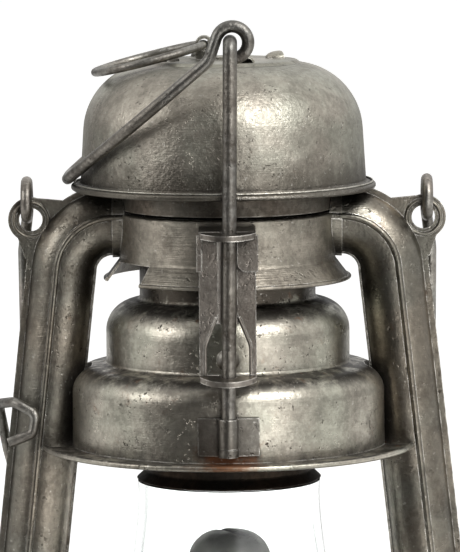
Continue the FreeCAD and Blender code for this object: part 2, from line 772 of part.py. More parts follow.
def tube_dent(grow):
    """Make the leaning cutter that lets the bell pass the tubes over its whole travel."""
    reach = TUBE_INNER_EDGE + TRAVEL * TUBE_LEAN + DENT_CLEARANCE + grow
    half = TUBE_DEPTH / 2 + BEAD_RADIUS + DENT_CLEARANCE + grow
    low, high = FLANGE_Z + DENT_FOOT, FLANGE_Z + DENT_TOP

    def outline(height):
        x_in = tube_line_x(height) - reach
        flat = ((DENT_OUTSIDE, -half), (x_in, -half), (x_in, half), (DENT_OUTSIDE, half))
        points = [V(x, y, height) for x, y in flat]
        rounded = rounded_path(points, [DENT_ROUND, DENT_ROUND]).Edges
        return Part.Wire(rounded + lines(points[-1], points[0]))

    right = Part.makeLoft([outline(low), outline(high)], True, True)
    return [right, right.mirror(V(0, 0, 0), X_AXIS)]


def bell():
    """Spin the stepped bell with its flange, and dent it where the tubes pass."""
    disc = ring(FLANGE_RADIUS - FLANGE_BEAD / 2, LOWER_DRUM_RADIUS - 1.5, FLANGE_Z - SHEET / 2, SHEET)
    edge = Part.makeTorus(FLANGE_RADIUS - FLANGE_BEAD, FLANGE_BEAD, V(0, 0, FLANGE_Z))
    outer = spun_solid(bell_outline(0))
    inner = spun_solid(bell_outline(SHEET))
    for dent, wide in zip(tube_dent(0), tube_dent(SHEET)):
        outer = outer.cut(dent)
        inner = inner.cut(wide)
        disc = disc.cut(dent)
        edge = edge.cut(dent)
    below = box((-90, 90), (-90, 90), (FLANGE_Z - 20, FLANGE_Z - SHEET / 2))
    wall = outer.cut(inner).cut(below)
    across = UPPER_DRUM_RADIUS * 2 + SHEET
    stud_holes = Part.makeCylinder(STUD_STEM, across, V(0, -across / 2, FLANGE_Z + STUD_HEIGHT), Y_AXIS)
    shell = wall.cut(stud_holes).fuse([disc, edge])
    return max(shell.Solids, key=lambda solid: solid.Volume)


def globe_seat():
    """Make the seat under the bell that presses on the globe's mouth."""
    top = FLANGE_Z - SHEET / 2 - PRESS_GAP
    profile = [
        (LOWER_DRUM_RADIUS + SEAT_HEM, top, 0),
        (SEAT_NECK_RADIUS - SHEET, top, SEAT_TOP_BEND),
        (SEAT_NECK_RADIUS - SHEET, FLANGE_Z - SEAT_DEPTH + SEAT_FLARE, SEAT_FLARE_BEND),
        (SEAT_LIP_RADIUS - SHEET, FLANGE_Z - SEAT_DEPTH, 0),
    ]
    seat = spun_sheet(profile, SHEET)
    for wide in tube_dent(0):
        seat = seat.cut(wide)
    return solid_of(seat)


def tube_sockets():
    """Make the short sleeves in which the tubes' upper ends stand."""
    end = COLLAR_RADIUS + SOCKET_LENGTH
    right = tube_envelope(SOCKET_WALL).common(box((COLLAR_RADIUS - 2.0, end), (-20, 20), (0, PIVOT_Z)))
    right = right.cut(Part.makeCylinder(COLLAR_RADIUS - SHEET, CROWN_HEIGHT, V(0, 0, FLANGE_Z + 20)))
    return [right, right.mirror(V(0, 0, 0), X_AXIS)]


def collar(envelopes):
    """Make the fixed collar with its flared skirt, open where the tubes enter."""
    low = FLANGE_Z
    profile = [
        (SKIRT_RADIUS, low + SKIRT_HEIGHT, 0),
        (COLLAR_RADIUS, low + COLLAR_FOOT_HEIGHT, COLLAR_FOOT_BEND),
        (COLLAR_RADIUS, low + BAND_HEIGHT, COLLAR_TOP_BEND),
        (BAND_RADIUS - SHEET, low + BAND_HEIGHT + BAND_STEP, 0),
    ]
    shell = spun_sheet(profile, SHEET)
    bead = Part.makeTorus(SKIRT_RADIUS - 0.1, SKIRT_BEAD, V(0, 0, low + SKIRT_HEIGHT))
    shell = shell.fuse([bead] + tube_sockets())
    for envelope in envelopes:
        shell = shell.cut(envelope)
    wedge = box((0, 60), (0, 30), (low + SKIRT_HEIGHT - 2, low + COLLAR_FOOT_HEIGHT - 0.4))
    span = NOTCH_TO - NOTCH_FROM
    other = turned(box((0, 60), (-30, 0), (low, low + 80)), span)
    wedge = wedge.common(other)
    core = Part.makeCylinder(COLLAR_RADIUS - SHEET, 90, V(0, 0, low))
    shell = shell.cut(turned(wedge.cut(core), NOTCH_FROM))
    return max(shell.Solids, key=lambda solid: solid.Volume)


def intake_band():
    """Make the recessed band above the collar, with the air inlets under the hood."""
    low = FLANGE_Z + BAND_HEIGHT + BAND_STEP + SHEET + PRESS_GAP
    top = FLANGE_Z + CROWN_HEIGHT
    band = ring(BAND_RADIUS, BAND_RADIUS - SHEET, low, top - low)
    for index in range(BAND_HOLES):
        angle = index * 360.0 / BAND_HOLES
        spot = polar(BAND_RADIUS - 3, angle, FLANGE_Z + RIM_HEIGHT + BAND_HOLE_RISE)
        band = band.cut(Part.makeCylinder(BAND_HOLE_RADIUS, 6, spot, polar(1, angle, 0)))
    return band


def crown_plate():
    """Make the ring that closes the band and holds the chimney."""
    low = FLANGE_Z + CROWN_HEIGHT + PRESS_GAP
    return ring(BAND_RADIUS + CROWN_LEDGE, CHIMNEY_RADIUS + PRESS_GAP, low, SHEET)


def chimney():
    """Make the inner flue, which the bell's neck slides over."""
    low = FLANGE_Z + CHIMNEY_FOOT_HEIGHT
    high = FLANGE_Z + CHIMNEY_TOP_HEIGHT
    return ring(CHIMNEY_RADIUS, CHIMNEY_RADIUS - SHEET, low, high - low)


def hood_profile():
    """List the hood's rounded outline, from the folded rim to the plateau."""
    low = FLANGE_Z
    return [
        (RIM_RADIUS - RIM_FOLD, low + RIM_HEIGHT - RIM_FOLD, 0),
        (RIM_RADIUS, low + RIM_HEIGHT - RIM_FOLD, RIM_ROUND),
        (RIM_RADIUS, low + RIM_HEIGHT, RIM_ROUND),
        (HOOD_WALL_RADIUS, low + RIM_HEIGHT + RIM_TOP_RISE, RIM_TOP_BEND),
        (HOOD_SHOULDER_RADIUS, low + HOOD_SHOULDER_HEIGHT, HOOD_SHOULDER_ROUND),
        (PLATEAU_RADIUS, low + PLATEAU_HEIGHT - PLATEAU_STEP, PLATEAU_FOOT_BEND),
        (PLATEAU_RADIUS - PLATEAU_EDGE, low + PLATEAU_HEIGHT, PLATEAU_TOP_BEND),
        (HOOD_BORE, low + PLATEAU_HEIGHT, 0),
    ]


def louvre(angle):
    """Make one scoop pressed out of the hood, open towards the rim, and its slot cutter."""
    top = FLANGE_Z + PLATEAU_HEIGHT
    half = LOUVRE_WIDTH / 2
    dome = Part.makeSphere(half, V(0, 0, 0))
    stretch = FreeCAD.Matrix()
    stretch.scale(LOUVRE_STRETCH, 1.0, LOUVRE_RISE / half)
    hollow = FreeCAD.Matrix()
    hollow.scale(LOUVRE_STRETCH * LOUVRE_HOLLOW, LOUVRE_HOLLOW, (LOUVRE_RISE - SHEET) / half)
    outer = dome.transformGeometry(stretch)
    inner = dome.transformGeometry(hollow)
    front = box((LOUVRE_MOUTH, 20), (-20, 20), (-20, 20))
    below = box((-20, 20), (-20, 20), (-20, -SHEET * 0.5))
    scoop = outer.cut(inner).cut(front).cut(below)
    slot = inner.cut(box((LOUVRE_SLOT, 20), (-20, 20), (-20, 20)))
    for shape in (scoop, slot):
        shape.translate(V(LOUVRE_REACH - LOUVRE_SETBACK, 0, top))
        shape.rotate(V(0, 0, 0), Z_AXIS, angle)
    return scoop, slot


def hood():
    """Spin the hood and press its louvres."""
    shell = spun_sheet(hood_profile(), SHEET)
    for index in range(LOUVRE_COUNT):
        scoop, slot = louvre(LOUVRE_TURN + index * 360.0 / LOUVRE_COUNT)
        shell = shell.cut(slot).fuse(scoop)
    return off_centre(max(shell.Solids, key=lambda solid: solid.Volume))


def off_centre(shape):
    """Return a copy moved with the hood, which sits a little to the left of the lantern's axis."""
    copy = shape.copy()
    copy.translate(V(HOOD_SHIFT, 0, 0))
    return copy


def hood_struts():
    """Make the bent straps that hold the hood on the crown plate."""
    straps = []
    foot = FLANGE_Z + CROWN_HEIGHT + PRESS_GAP + SHEET
    share = (foot + STRUT_RISE - FLANGE_Z - RIM_HEIGHT) / (HOOD_SHOULDER_HEIGHT - RIM_HEIGHT)
    inside = HOOD_WALL_RADIUS - share * (HOOD_WALL_RADIUS - HOOD_SHOULDER_RADIUS) - SHEET
    wall = inside - STRUT_SHEET - REST_GAP
    for index in range(STRUT_COUNT):
        points = [V(CHIMNEY_RADIUS + STRUT_FOOT, 0, foot + STRUT_SHEET), V(wall, 0, foot + STRUT_SHEET)]
        points.append(V(wall - STRUT_LEAN, 0, foot + STRUT_RISE))
        strip = rounded_path(points, [STRUT_BEND]).extrude(V(0, STRUT_WIDTH, 0))
        strip.translate(V(0, -STRUT_WIDTH / 2, 0))
        solid = strip.makeOffsetShape(STRUT_SHEET, 1e-3, fill=True)
        straps.append(off_centre(turned(solid, STRUT_TURN + index * 360.0 / STRUT_COUNT)))
    return group_of(straps)


def ring_clip():
    """Make the strap on the hood's top that holds the hanging ring."""
    top = FLANGE_Z + PLATEAU_HEIGHT + PRESS_GAP
    axis = V(RING_HINGE_X, 0, top + RING_HINGE_RISE)
    bore = RING_WIRE_RADIUS + RING_EYE_PLAY
    outer = bore + RING_EYE_WALL
    half = RING_STRAP_WIDTH / 2
    eye = Part.makeCylinder(outer, RING_STRAP_WIDTH, axis - V(0, half, 0), Y_AXIS)
    post = box((RING_HINGE_X - outer, RING_HINGE_X + outer), (-half, half), (top, axis.z))
    strap_x = (RING_HINGE_X - RING_STRAP_BACK, RING_STRAP_END)
    foot = box(strap_x, (-half, half), (top, top + RING_STRAP_SHEET))
    head = Part.makeCylinder(RIVET_RADIUS, RIVET_HEIGHT, V(RIVET_X, 0, top))
    pin = Part.makeCylinder(RIVET_PIN, RIVET_SINK + SHEET, V(0, 0, top - RIVET_SINK))
    under = top - PRESS_GAP * 2 - SHEET
    pin = pin.fuse(Part.makeCylinder(RIVET_TAIL_RADIUS, RIVET_TAIL, V(0, 0, under - RIVET_TAIL)))
    clip = eye.fuse([post, foot, head, pin])
    clip = clip.cut(Part.makeCylinder(bore, 4 * half, axis - V(0, 2 * half, 0), Y_AXIS))
    return off_centre(solid_of(clip))


def hanging_ring():
    """Make the wire ring that leans over the hood to the left."""
    top = FLANGE_Z + PLATEAU_HEIGHT + PRESS_GAP
    axis = V(RING_HINGE_X, 0, top + RING_HINGE_RISE)
    loop = Part.makeTorus(RING_RADIUS, RING_WIRE_RADIUS, axis - V(RING_RADIUS, 0, 0))
    loop.rotate(axis, Y_AXIS, -RING_TILT)
    return off_centre(loop)


def arch_side(side, grow):
    """List one side of the strap's opening: a pointed arch that narrows to the rod's slot."""
    foot = FLANGE_Z + BRACKET_FOOT_HEIGHT + BRACKET_LUG
    wide = side * (ARCH_HALF_WIDTH + grow)
    slot = side * (ROD_RADIUS + 2 * REST_GAP + grow)
    front = -STRAP_Y - BRACKET_SHEET
    return [V(wide, front, foot), V(wide, front, foot + ARCH_SIDE), V(slot, front, foot + ARCH_RISE)]


def bracket_opening():
    """Make the cutter for the strap's arch and the slot that the rod runs in."""
    top = FLANGE_Z + BRACKET_TOP_HEIGHT
    edges = []
    for side in (-1, 1):
        corners = arch_side(side, 0)
        corners.append(V(corners[-1].x, corners[-1].y, top))
        edges += rounded_path(corners, [ARCH_TURN, ARCH_EASE]).Edges
    left, right = arch_side(-1, 0), arch_side(1, 0)
    edges += lines(left[0], right[0])
    edges += lines(V(left[-1].x, left[-1].y, top), V(right[-1].x, right[-1].y, top))
    cutter = Part.Face(Part.Wire(Part.__sortEdges__(edges))).extrude(V(0, 3 * BRACKET_SHEET, 0))
    cutter.translate(V(0, -BRACKET_SHEET, 0))
    return cutter


def bracket_lug(foot, back, droop):
    """Make one round-nosed lug that the rod slides in, bent down a little from the strap."""
    half = BRACKET_WIDTH / 2
    side_y = -STRAP_Y - BRACKET_SHEET - LUG_SIDE
    nose = V(0, -(ROD_Y + ROD_RADIUS + BRACKET_NOSE), foot)
    left, right = V(-half, side_y, foot), V(half, side_y, foot)
    hinge = [V(half, -STRAP_Y, foot), V(-half, -STRAP_Y, foot)]
    edges = [Part.Arc(left, nose, right).toShape()] + lines(right, hinge[0], hinge[1], left)
    lug = Part.Face(Part.Wire(Part.__sortEdges__(edges))).extrude(V(0, 0, BRACKET_LUG))
    lug.rotate(V(0, -STRAP_Y, foot), X_AXIS, droop)
    return lug.fuse(box((-half, half), (-STRAP_Y - BRACKET_SHEET, back), (foot, foot + BRACKET_LUG)))


def rod_axis(lean, height):
    """Give the point of the front rod's leaning axis at a height over the flange."""
    return V((height - CLIP_FOOT_HEIGHT) * math.tan(math.radians(lean)), -ROD_Y, FLANGE_Z + height)


def rod_bore(lean, travel):
    """Make the cutter for the front rod's guides, widened for its sideways creep over a travel."""
    foot, top = rod_axis(lean, 0), rod_axis(lean, PIVOT_HEIGHT)
    creep = travel * math.tan(math.radians(abs(lean)))
    return Part.makeCylinder(ROD_RADIUS + RUNNING_GAP + creep, PIVOT_HEIGHT, foot, top - foot)


def bracket(lean):
    """Make the front rod guide: a shelf and cheeks on the collar, and a slotted strap with a lug."""
    low = FLANGE_Z + BRACKET_FOOT_HEIGHT
    high = FLANGE_Z + BRACKET_TOP_HEIGHT
    half = BRACKET_WIDTH / 2
    front = -STRAP_Y - BRACKET_SHEET
    shelf_foot = high - BRACKET_LUG
    strap = box((-half, half), (front, -STRAP_Y), (low, high)).cut(bracket_opening())
    pieces = [bracket_lug(low, -STRAP_Y, LUG_DROOP), bracket_lug(shelf_foot, 0, SHELF_DROOP)]
    for side in (-1, 1):
        cheek = sorted((side * (half - BRACKET_SHEET), side * half))
        pieces.append(box(cheek, (front, 0), (shelf_foot - FLAP_LENGTH, high)))
        pieces.append(wire_rod(arch_side(side, ARCH_BEAD), [ARCH_TURN], ARCH_BEAD))
    flap_z = (shelf_foot - FLAP_LENGTH, shelf_foot + BRACKET_LUG / 2)
    flap = box((half + SHEET - FLAP_WIDTH, half + SHEET), (front - BRACKET_SHEET, front), flap_z)
    corner_edge = [edge for edge in flap.Edges if abs(edge.tangentAt(0).y) > 0.5]
    corner_edge = [edge for edge in corner_edge if edge.CenterOfMass.z < shelf_foot - 1]
    flap = flap.makeFillet(FLAP_ROUND, [edge for edge in corner_edge if edge.CenterOfMass.x < half])
    stub = box((-half - SHEET, -half + BRACKET_SHEET), (front - BRACKET_SHEET, front), flap_z)
    body = strap.fuse(pieces + [flap, stub])
    skin = Part.makeCylinder(COLLAR_RADIUS + PRESS_GAP, 2 * BRACKET_TOP_HEIGHT, V(0, 0, FLANGE_Z))
    return solid_of(body.cut(skin).cut(rod_bore(lean, TRAVEL)))


def bell_stud():
    """Make the round-headed stud on the front of the bell's upper drum."""
    face = V(0, -UPPER_DRUM_RADIUS - PRESS_GAP, FLANGE_Z + STUD_HEIGHT)
    ball = STUD_RADIUS * STUD_DOME
    sink = math.sqrt(ball ** 2 - STUD_RADIUS ** 2)
    head = Part.makeSphere(ball, face + V(0, sink, 0))
    head = head.cut(Part.makeCylinder(2 * ball, 3 * ball, face, Y_AXIS))
    stem = Part.makeCylinder(STUD_STEM - PRESS_GAP, SHEET + 3 * PRESS_GAP, face, Y_AXIS)
    tail = Part.makeCylinder(STUD_STEM + STUD_TAIL, SHEET, face + V(0, SHEET + 3 * PRESS_GAP, 0), Y_AXIS)
    return solid_of(stem.fuse([head, tail]))


def rod_clip(lean):
    """Make the clip on the bell's lower drum that holds the front rod's foot."""
    low = FLANGE_Z + CLIP_FOOT_HEIGHT
    skin = LOWER_DRUM_RADIUS + PRESS_GAP
    wings = ring(skin + CLIP_SHEET, skin, low, CLIP_HEIGHT)
    half = CLIP_WIDTH / 2
    wings = wings.common(box((-half, half), (-60, 0), (low, low + CLIP_HEIGHT)))
    bore = ROD_RADIUS + RUNNING_GAP
    sleeve = Part.makeCylinder(bore + CLIP_SHEET, CLIP_HEIGHT - FOOT_ROOM, V(0, -ROD_Y, low + FOOT_ROOM))
    sleeve = sleeve.cut(Part.makeCylinder(skin, 60, V(0, 0, FLANGE_Z - 10)))
    foot_room = Part.makeCylinder(foot_radius() + RUNNING_GAP, FOOT_ROOM, V(0, -ROD_Y, low))
    return solid_of(wings.fuse(sleeve).cut(rod_bore(lean, 0)).cut(foot_room))


def foot_radius():
    """Give the radius of the rod's upset foot, which the sleeve rests on."""
    return ROD_RADIUS + FOOT_FLANGE


def rod(lean, drop):
    """Make the front lifting rod: upset foot, leaning run, and top bent back into the eye."""
    foot_at = rod_axis(lean, CLIP_FOOT_HEIGHT)
    top = rod_axis(lean, PIVOT_HEIGHT - drop)
    tip = V(top.x, -(EYE_Y - BAIL_WIRE_RADIUS - ROD_END), top.z)
    shaft = wire_rod([foot_at, top, tip], [ROD_BEND - 0.2], ROD_RADIUS)
    foot = Part.makeCylinder(foot_radius(), FOOT_HEIGHT, foot_at)
    skin = Part.makeCylinder(LOWER_DRUM_RADIUS + PRESS_GAP, 60, V(0, 0, FLANGE_Z - 10))
    return solid_of(shaft.fuse(foot).cut(skin))


def eye_point(centre, across, radius, angle):
    """Give the point of an eye at an angle, seen with across to the right."""
    turn = math.radians(angle)
    return centre + across * (radius * math.cos(turn)) + Z_AXIS * (radius * math.sin(turn))


def eye_and_arm(centre, across, radius, angles, arm, bends):
    """List the edges of an open eye, turned from its first angle to its last, and of its arm."""
    start, end = angles
    turns = (start, (start + end) / 2, end)
    first, middle, last = [eye_point(centre, across, radius, turn) for turn in turns]
    return [Part.Arc(first, middle, last).toShape()] + rounded_path([last] + arm, bends).Edges


def bent_bail(first, second, wire_radius):
    """Sweep one wire along an eye and its arm, and on along the other arm and its eye."""
    path = Part.Wire(Part.__sortEdges__(first + second))
    edge = path.OrderedEdges[0]
    start = path.OrderedVertexes[0].Point
    ends = (edge.FirstParameter, edge.LastParameter)
    here = min(ends, key=lambda end: edge.valueAt(end).distanceToPoint(start))
    circle = Part.Wire(Part.makeCircle(wire_radius, start, edge.tangentAt(here)))
    return Part.Solid(path.makePipeShell([circle], True, False))


def bail_height(x_out, y_out):
    """Give the height of the lifting bail's arms at rest, which slope down to the left."""
    fall = x_out * math.tan(math.radians(BAIL_SLOPE)) + y_out * math.tan(math.radians(BAIL_SKEW))
    return PIVOT_Z - BAIL_DROP - fall


def lifting_bail():
    """Bend the bail that lifts the bell: two eyes and one loop round the hood's left side."""
    slope = math.tan(math.radians(BAIL_SLOPE))
    halves = []
    for sign, drop, end in ((-1, 0.0, FRONT_EYE_END), (1, REAR_PIVOT_DROP, REAR_EYE_END)):
        y_out = sign * EYE_Y
        centre = V(EYE_X, y_out, PIVOT_Z - drop)
        leave = eye_point(centre, X_AXIS, EYE_RADIUS, end)
        turn = math.radians(end)
        above = leave.z - bail_height(-leave.x, y_out)
        run = above / (-slope * math.sin(turn) - math.cos(turn))
        neck = leave + V(-math.sin(turn), 0, math.cos(turn)) * run
        shoulder = (BAIL_SHOULDER_X, y_out * BAIL_SHOULDER_SHARE)
        corners = [shoulder, (BAIL_TIP_X, sign * BAIL_TIP_HALF), (BAIL_TIP_X, 0)]
        arm = [neck] + [V(-x_out, y, bail_height(x_out, y)) for x_out, y in corners]
        halves.append(eye_and_arm(centre, X_AXIS, EYE_RADIUS, (BAIL_EYE_START, end), arm, BAIL_BENDS))
    return bent_bail(halves[0], halves[1], BAIL_WIRE_RADIUS)


def carry_tilt():
    """Give the angle at which the hanging bail rests beside the globe plate's edge."""
    reach = PLATE_RADIUS + REST_GAP + CARRY_WIRE_RADIUS - CARRY_EYE_RADIUS
    return math.degrees(math.asin(reach / CARRY_LENGTH))


def carrying_bail():
    """Bend the carrying bail, which hangs behind the lantern from the ears."""
    back = CARRY_EYE_RADIUS
    low = CARRY_Z - CARRY_LENGTH
    halves = []
    for side in (-1, 1):
        eye = V(side * CARRY_EYE_X, 0, CARRY_Z)
        arm_x = side * CARRY_ARM_X
        arm = [V(eye.x, back, CARRY_Z - CARRY_NECK), V(arm_x, back, CARRY_Z - CARRY_ARM_START)]
        arm += [V(arm_x, back, low), V(0, back, low)]
        bends = [CARRY_ARM_BEND, CARRY_ARM_BEND, CARRY_CORNER]
        halves.append(eye_and_arm(eye, -Y_AXIS, CARRY_EYE_RADIUS, (CARRY_EYE_START, 180.0), arm, bends))
    bail = bent_bail(halves[0], halves[1], CARRY_WIRE_RADIUS)
    bail.rotate(V(0, 0, CARRY_Z), X_AXIS, carry_tilt())
    return bail


def lift_lever():
    """Bend the lever that lifts the globe: crank, axle, stem behind the tube and thumb hook."""
    tip_x, tip_z = crank_tip()
    axle_z = lever_height()
    far = LEVER_Y + LEVER_END
    points = [
        V(tip_x, LEVER_STEM_Y, tip_z),
        V(tip_x, far, tip_z),
        V(LEVER_X, far, axle_z),
        V(LEVER_X, LEVER_STEM_Y, axle_z),
    ]
    points += [V(x, y, FLANGE_Z + rise) for x, y, rise in LEVER_PATH]
    return wire_rod(points, LEVER_BENDS, LEVER_WIRE_RADIUS)


def lever_bracket():
    """Make the small plate on the chamber's side that the lever turns in."""
    axle_z = lever_height()
    low = CHAMBER_FOOT + LEVER_PLATE_FOOT
    high = low + LEVER_PLATE_DEPTH
    y_low = LEVER_Y - LEVER_PLATE / 2
    left, right = LEVER_X - LEVER_EYE_RADIUS, LEVER_X + LEVER_EYE_RADIUS
    corners = [
        V(LEVER_PLATE_ROOT, y_low, low),
        V(left + SHEET, y_low, low + LEVER_PLATE_FOOT),
        V(left, y_low, axle_z),
        V(right, y_low, axle_z),
        V(right + SHEET, y_low, high),
        V(LEVER_PLATE_ROOT, y_low, high),
    ]
    plate = Part.Face(Part.makePolygon(corners + [corners[0]])).extrude(V(0, LEVER_PLATE, 0))
    eye = Part.makeCylinder(LEVER_EYE_RADIUS, LEVER_PLATE, V(LEVER_X, y_low, axle_z), Y_AXIS)
    body = plate.fuse(eye)
    body = body.cut(Part.makeCylinder(CHAMBER_RADIUS + PRESS_GAP, 60, V(0, 0, CHAMBER_FOOT - 9)))
    bore = Part.makeCylinder(LEVER_WIRE_RADIUS + RUNNING_GAP, 9, V(LEVER_X, y_low - 3, axle_z), Y_AXIS)
    body = body.cut(bore)
    return max(body.Solids, key=lambda solid: solid.Volume)


def burner_collar():
    """Make the threaded collar set in the tank's top."""
    bore = BURNER_COLLAR_RADIUS - BURNER_THREAD
    body = ring(BURNER_COLLAR_RADIUS, bore, TANK_HEIGHT - BURNER_SINK, BURNER_SINK + BURNER_RISE)
    flange = ring(BURNER_COLLAR_RADIUS + BURNER_FLANGE, bore, TANK_HEIGHT + PRESS_GAP, BURNER_LID)
    return solid_of(body.fuse(flange))


def burner_body():
    """Make the burner's floor, screwed into the collar, with the wick tube's slot."""
    inside = BURNER_COLLAR_RADIUS - BURNER_THREAD - RUNNING_GAP
    foot = V(0, 0, TANK_HEIGHT - BURNER_SINK)
    plug = Part.makeCylinder(inside, 7.4, foot)
    plug = plug.cut(Part.makeCylinder(inside - BURNER_LID, 6.4, foot))
    lid_foot = V(0, 0, TANK_HEIGHT + BURNER_RISE + PRESS_GAP)
    lid = Part.makeCylinder(BURNER_COLLAR_RADIUS + 0.8, BURNER_LID, lid_foot)
    body = plug.fuse(lid)
    width = WICK_WIDTH / 2 + 2 * WICK_TUBE_SHEET + PRESS_GAP
    thick = WICK_THICK / 2 + 2 * WICK_TUBE_SHEET + PRESS_GAP
    slot = box((-thick, thick), (-width, width), (TANK_HEIGHT - 9, TANK_HEIGHT + 9))
    body = body.cut(slot)
    for reach in (WICK_WIDTH / 2 + 2.6, BURNER_COLLAR_RADIUS - 4.6):
        cheek = box((WHEEL_X - 2.0, WHEEL_X + 2.0), (-reach - 0.6, -reach + 0.6),
                    (TANK_HEIGHT + 3.5, shaft_height() + 2.2))
        body = body.fuse(cheek)
    bore = Part.makeCylinder(SHAFT_RADIUS + RUNNING_GAP, 60, V(WHEEL_X, -40, shaft_height()), Y_AXIS)
    return solid_of(turned(body.cut(bore), BURNER_TURN))


def wick_tube():
    """Make the flat tube that guides the wick, with a window for the wheels."""
    wide = WICK_WIDTH / 2 + WICK_TUBE_SHEET
    thick = WICK_THICK / 2 + WICK_TUBE_SHEET
    low = TANK_HEIGHT - 6.0
    top = cone_top() - WICK_TUBE_DROP
    outer = box((-thick - WICK_TUBE_SHEET, thick + WICK_TUBE_SHEET),
                (-wide - WICK_TUBE_SHEET, wide + WICK_TUBE_SHEET), (low, top))
    bore = box((-thick, thick), (-wide, wide), (low - 1, top + 1))
    window = box((0, 9), (-WICK_WIDTH * 0.42, WICK_WIDTH * 0.42),
                 (shaft_height() - WHEEL_RADIUS - 0.6, shaft_height() + WHEEL_RADIUS + 0.6))
    return turned(outer.cut(bore).cut(window), BURNER_TURN)


def cone_top():
    """Give the height of the burner cone's top."""
    return FLANGE_Z - CONE_DROP


def wick():
    """Make the flat wick, which hangs into the tank."""
    top = cone_top() - WICK_DROP
    body = box((-WICK_THICK / 2, WICK_THICK / 2), (-WICK_WIDTH / 2, WICK_WIDTH / 2), (WICK_FOOT, top))
    return turned(body, BURNER_TURN)


def wick_shaft():
    """Make the thin shaft that turns the toothed wheels."""
    start = V(WHEEL_X, WICK_WIDTH / 2 + 1.0, shaft_height())
    length = KNOB_REACH + WICK_WIDTH / 2
    return turned(Part.makeCylinder(SHAFT_RADIUS, length, start, -Y_AXIS), BURNER_TURN)


def wick_wheels():
    """Make the two toothed wheels that move the wick."""
    wheels = []
    for place in (-WHEEL_PLACE, WHEEL_PLACE):
        teeth = []
        for index in range(WHEEL_TEETH * 2):
            reach = WHEEL_RADIUS if index % 2 == 0 else WHEEL_RADIUS - TOOTH_DEPTH
            angle = math.radians(index * 180.0 / WHEEL_TEETH)
            across, rise = reach * math.cos(angle), reach * math.sin(angle)
            teeth.append(V(WHEEL_X + across, place - WHEEL_THICK / 2, shaft_height() + rise))
        wheel = Part.Face(Part.makePolygon(teeth + [teeth[0]])).extrude(V(0, WHEEL_THICK, 0))
        hole = Part.makeCylinder(SHAFT_RADIUS, 9, V(WHEEL_X, place - 4, shaft_height()), Y_AXIS)
        wheels.append(turned(wheel.cut(hole), BURNER_TURN))
    return group_of(wheels)


def wick_knob():
    """Make the knurled knob on the shaft's outer end."""
    near = -(KNOB_REACH - 4.0)
    knob = Part.makeCylinder(KNOB_RADIUS, KNOB_THICK, V(WHEEL_X, near, shaft_height()), -Y_AXIS)
    knob = knob.makeFillet(KNOB_KNURL_RADIUS, [edge for edge in knob.Edges if edge.Closed])
    hub = Part.makeCylinder(KNOB_HUB, 2 * KNOB_THICK, V(WHEEL_X, near + 1.4, shaft_height()), -Y_AXIS)
    knob = knob.fuse(hub)
    for index in range(KNOB_KNURLS):
        angle = math.radians(index * 360.0 / KNOB_KNURLS)
        spot = V(WHEEL_X + (KNOB_RADIUS + 0.2) * math.cos(angle), near + 1,
                 shaft_height() + (KNOB_RADIUS + 0.2) * math.sin(angle))
        knob = knob.cut(Part.makeCylinder(KNOB_KNURL_RADIUS, 6, spot, -Y_AXIS))
    knob = knob.cut(Part.makeCylinder(SHAFT_RADIUS, 12, V(WHEEL_X, near + 3, shaft_height()), -Y_AXIS))
    return turned(knob, BURNER_TURN)


def burner_cone():
    """Make the domed cone with the flame slot across it."""
    top = cone_top()
    foot = TANK_HEIGHT + CONE_FOOT_RISE + PRESS_GAP
    profile = [
        (CONE_RADIUS, foot, 0),
        (CONE_RADIUS, foot + 22.0, 3.0),
        (CONE_RADIUS - 1.0, top - 14.0, 6.0),
        (CONE_RADIUS - 2.2, top - 0.6, 8.4),
        (0.8, top, 0),
    ]
    cone = spun_sheet(profile, SHEET)
    half = WICK_WIDTH / 2 + FLAME_SLOT_PLAY
    slot = box((-FLAME_SLOT / 2, FLAME_SLOT / 2), (-half, half), (top - FLAME_SLOT_DEPTH, top + 5))
    cone = cone.cut(slot)
    bottom_slot = box((WHEEL_X - 1.8, WHEEL_X + 1.8), (-30, -5), (foot - 1, shaft_height() + 2.6))
    cone = cone.cut(bottom_slot)
    for index in range(CONE_HOLES):
        angle = (index + 0.5) * 360.0 / CONE_HOLES
        if abs(angle - 270) > 30:
            spot = polar(CONE_RADIUS - 3, angle, foot + 17.0)
            cone = cone.cut(Part.makeCylinder(CONE_HOLE_RADIUS, 6, spot, polar(1, angle, 0)))
    return solid_of(turned(cone, BURNER_TURN))


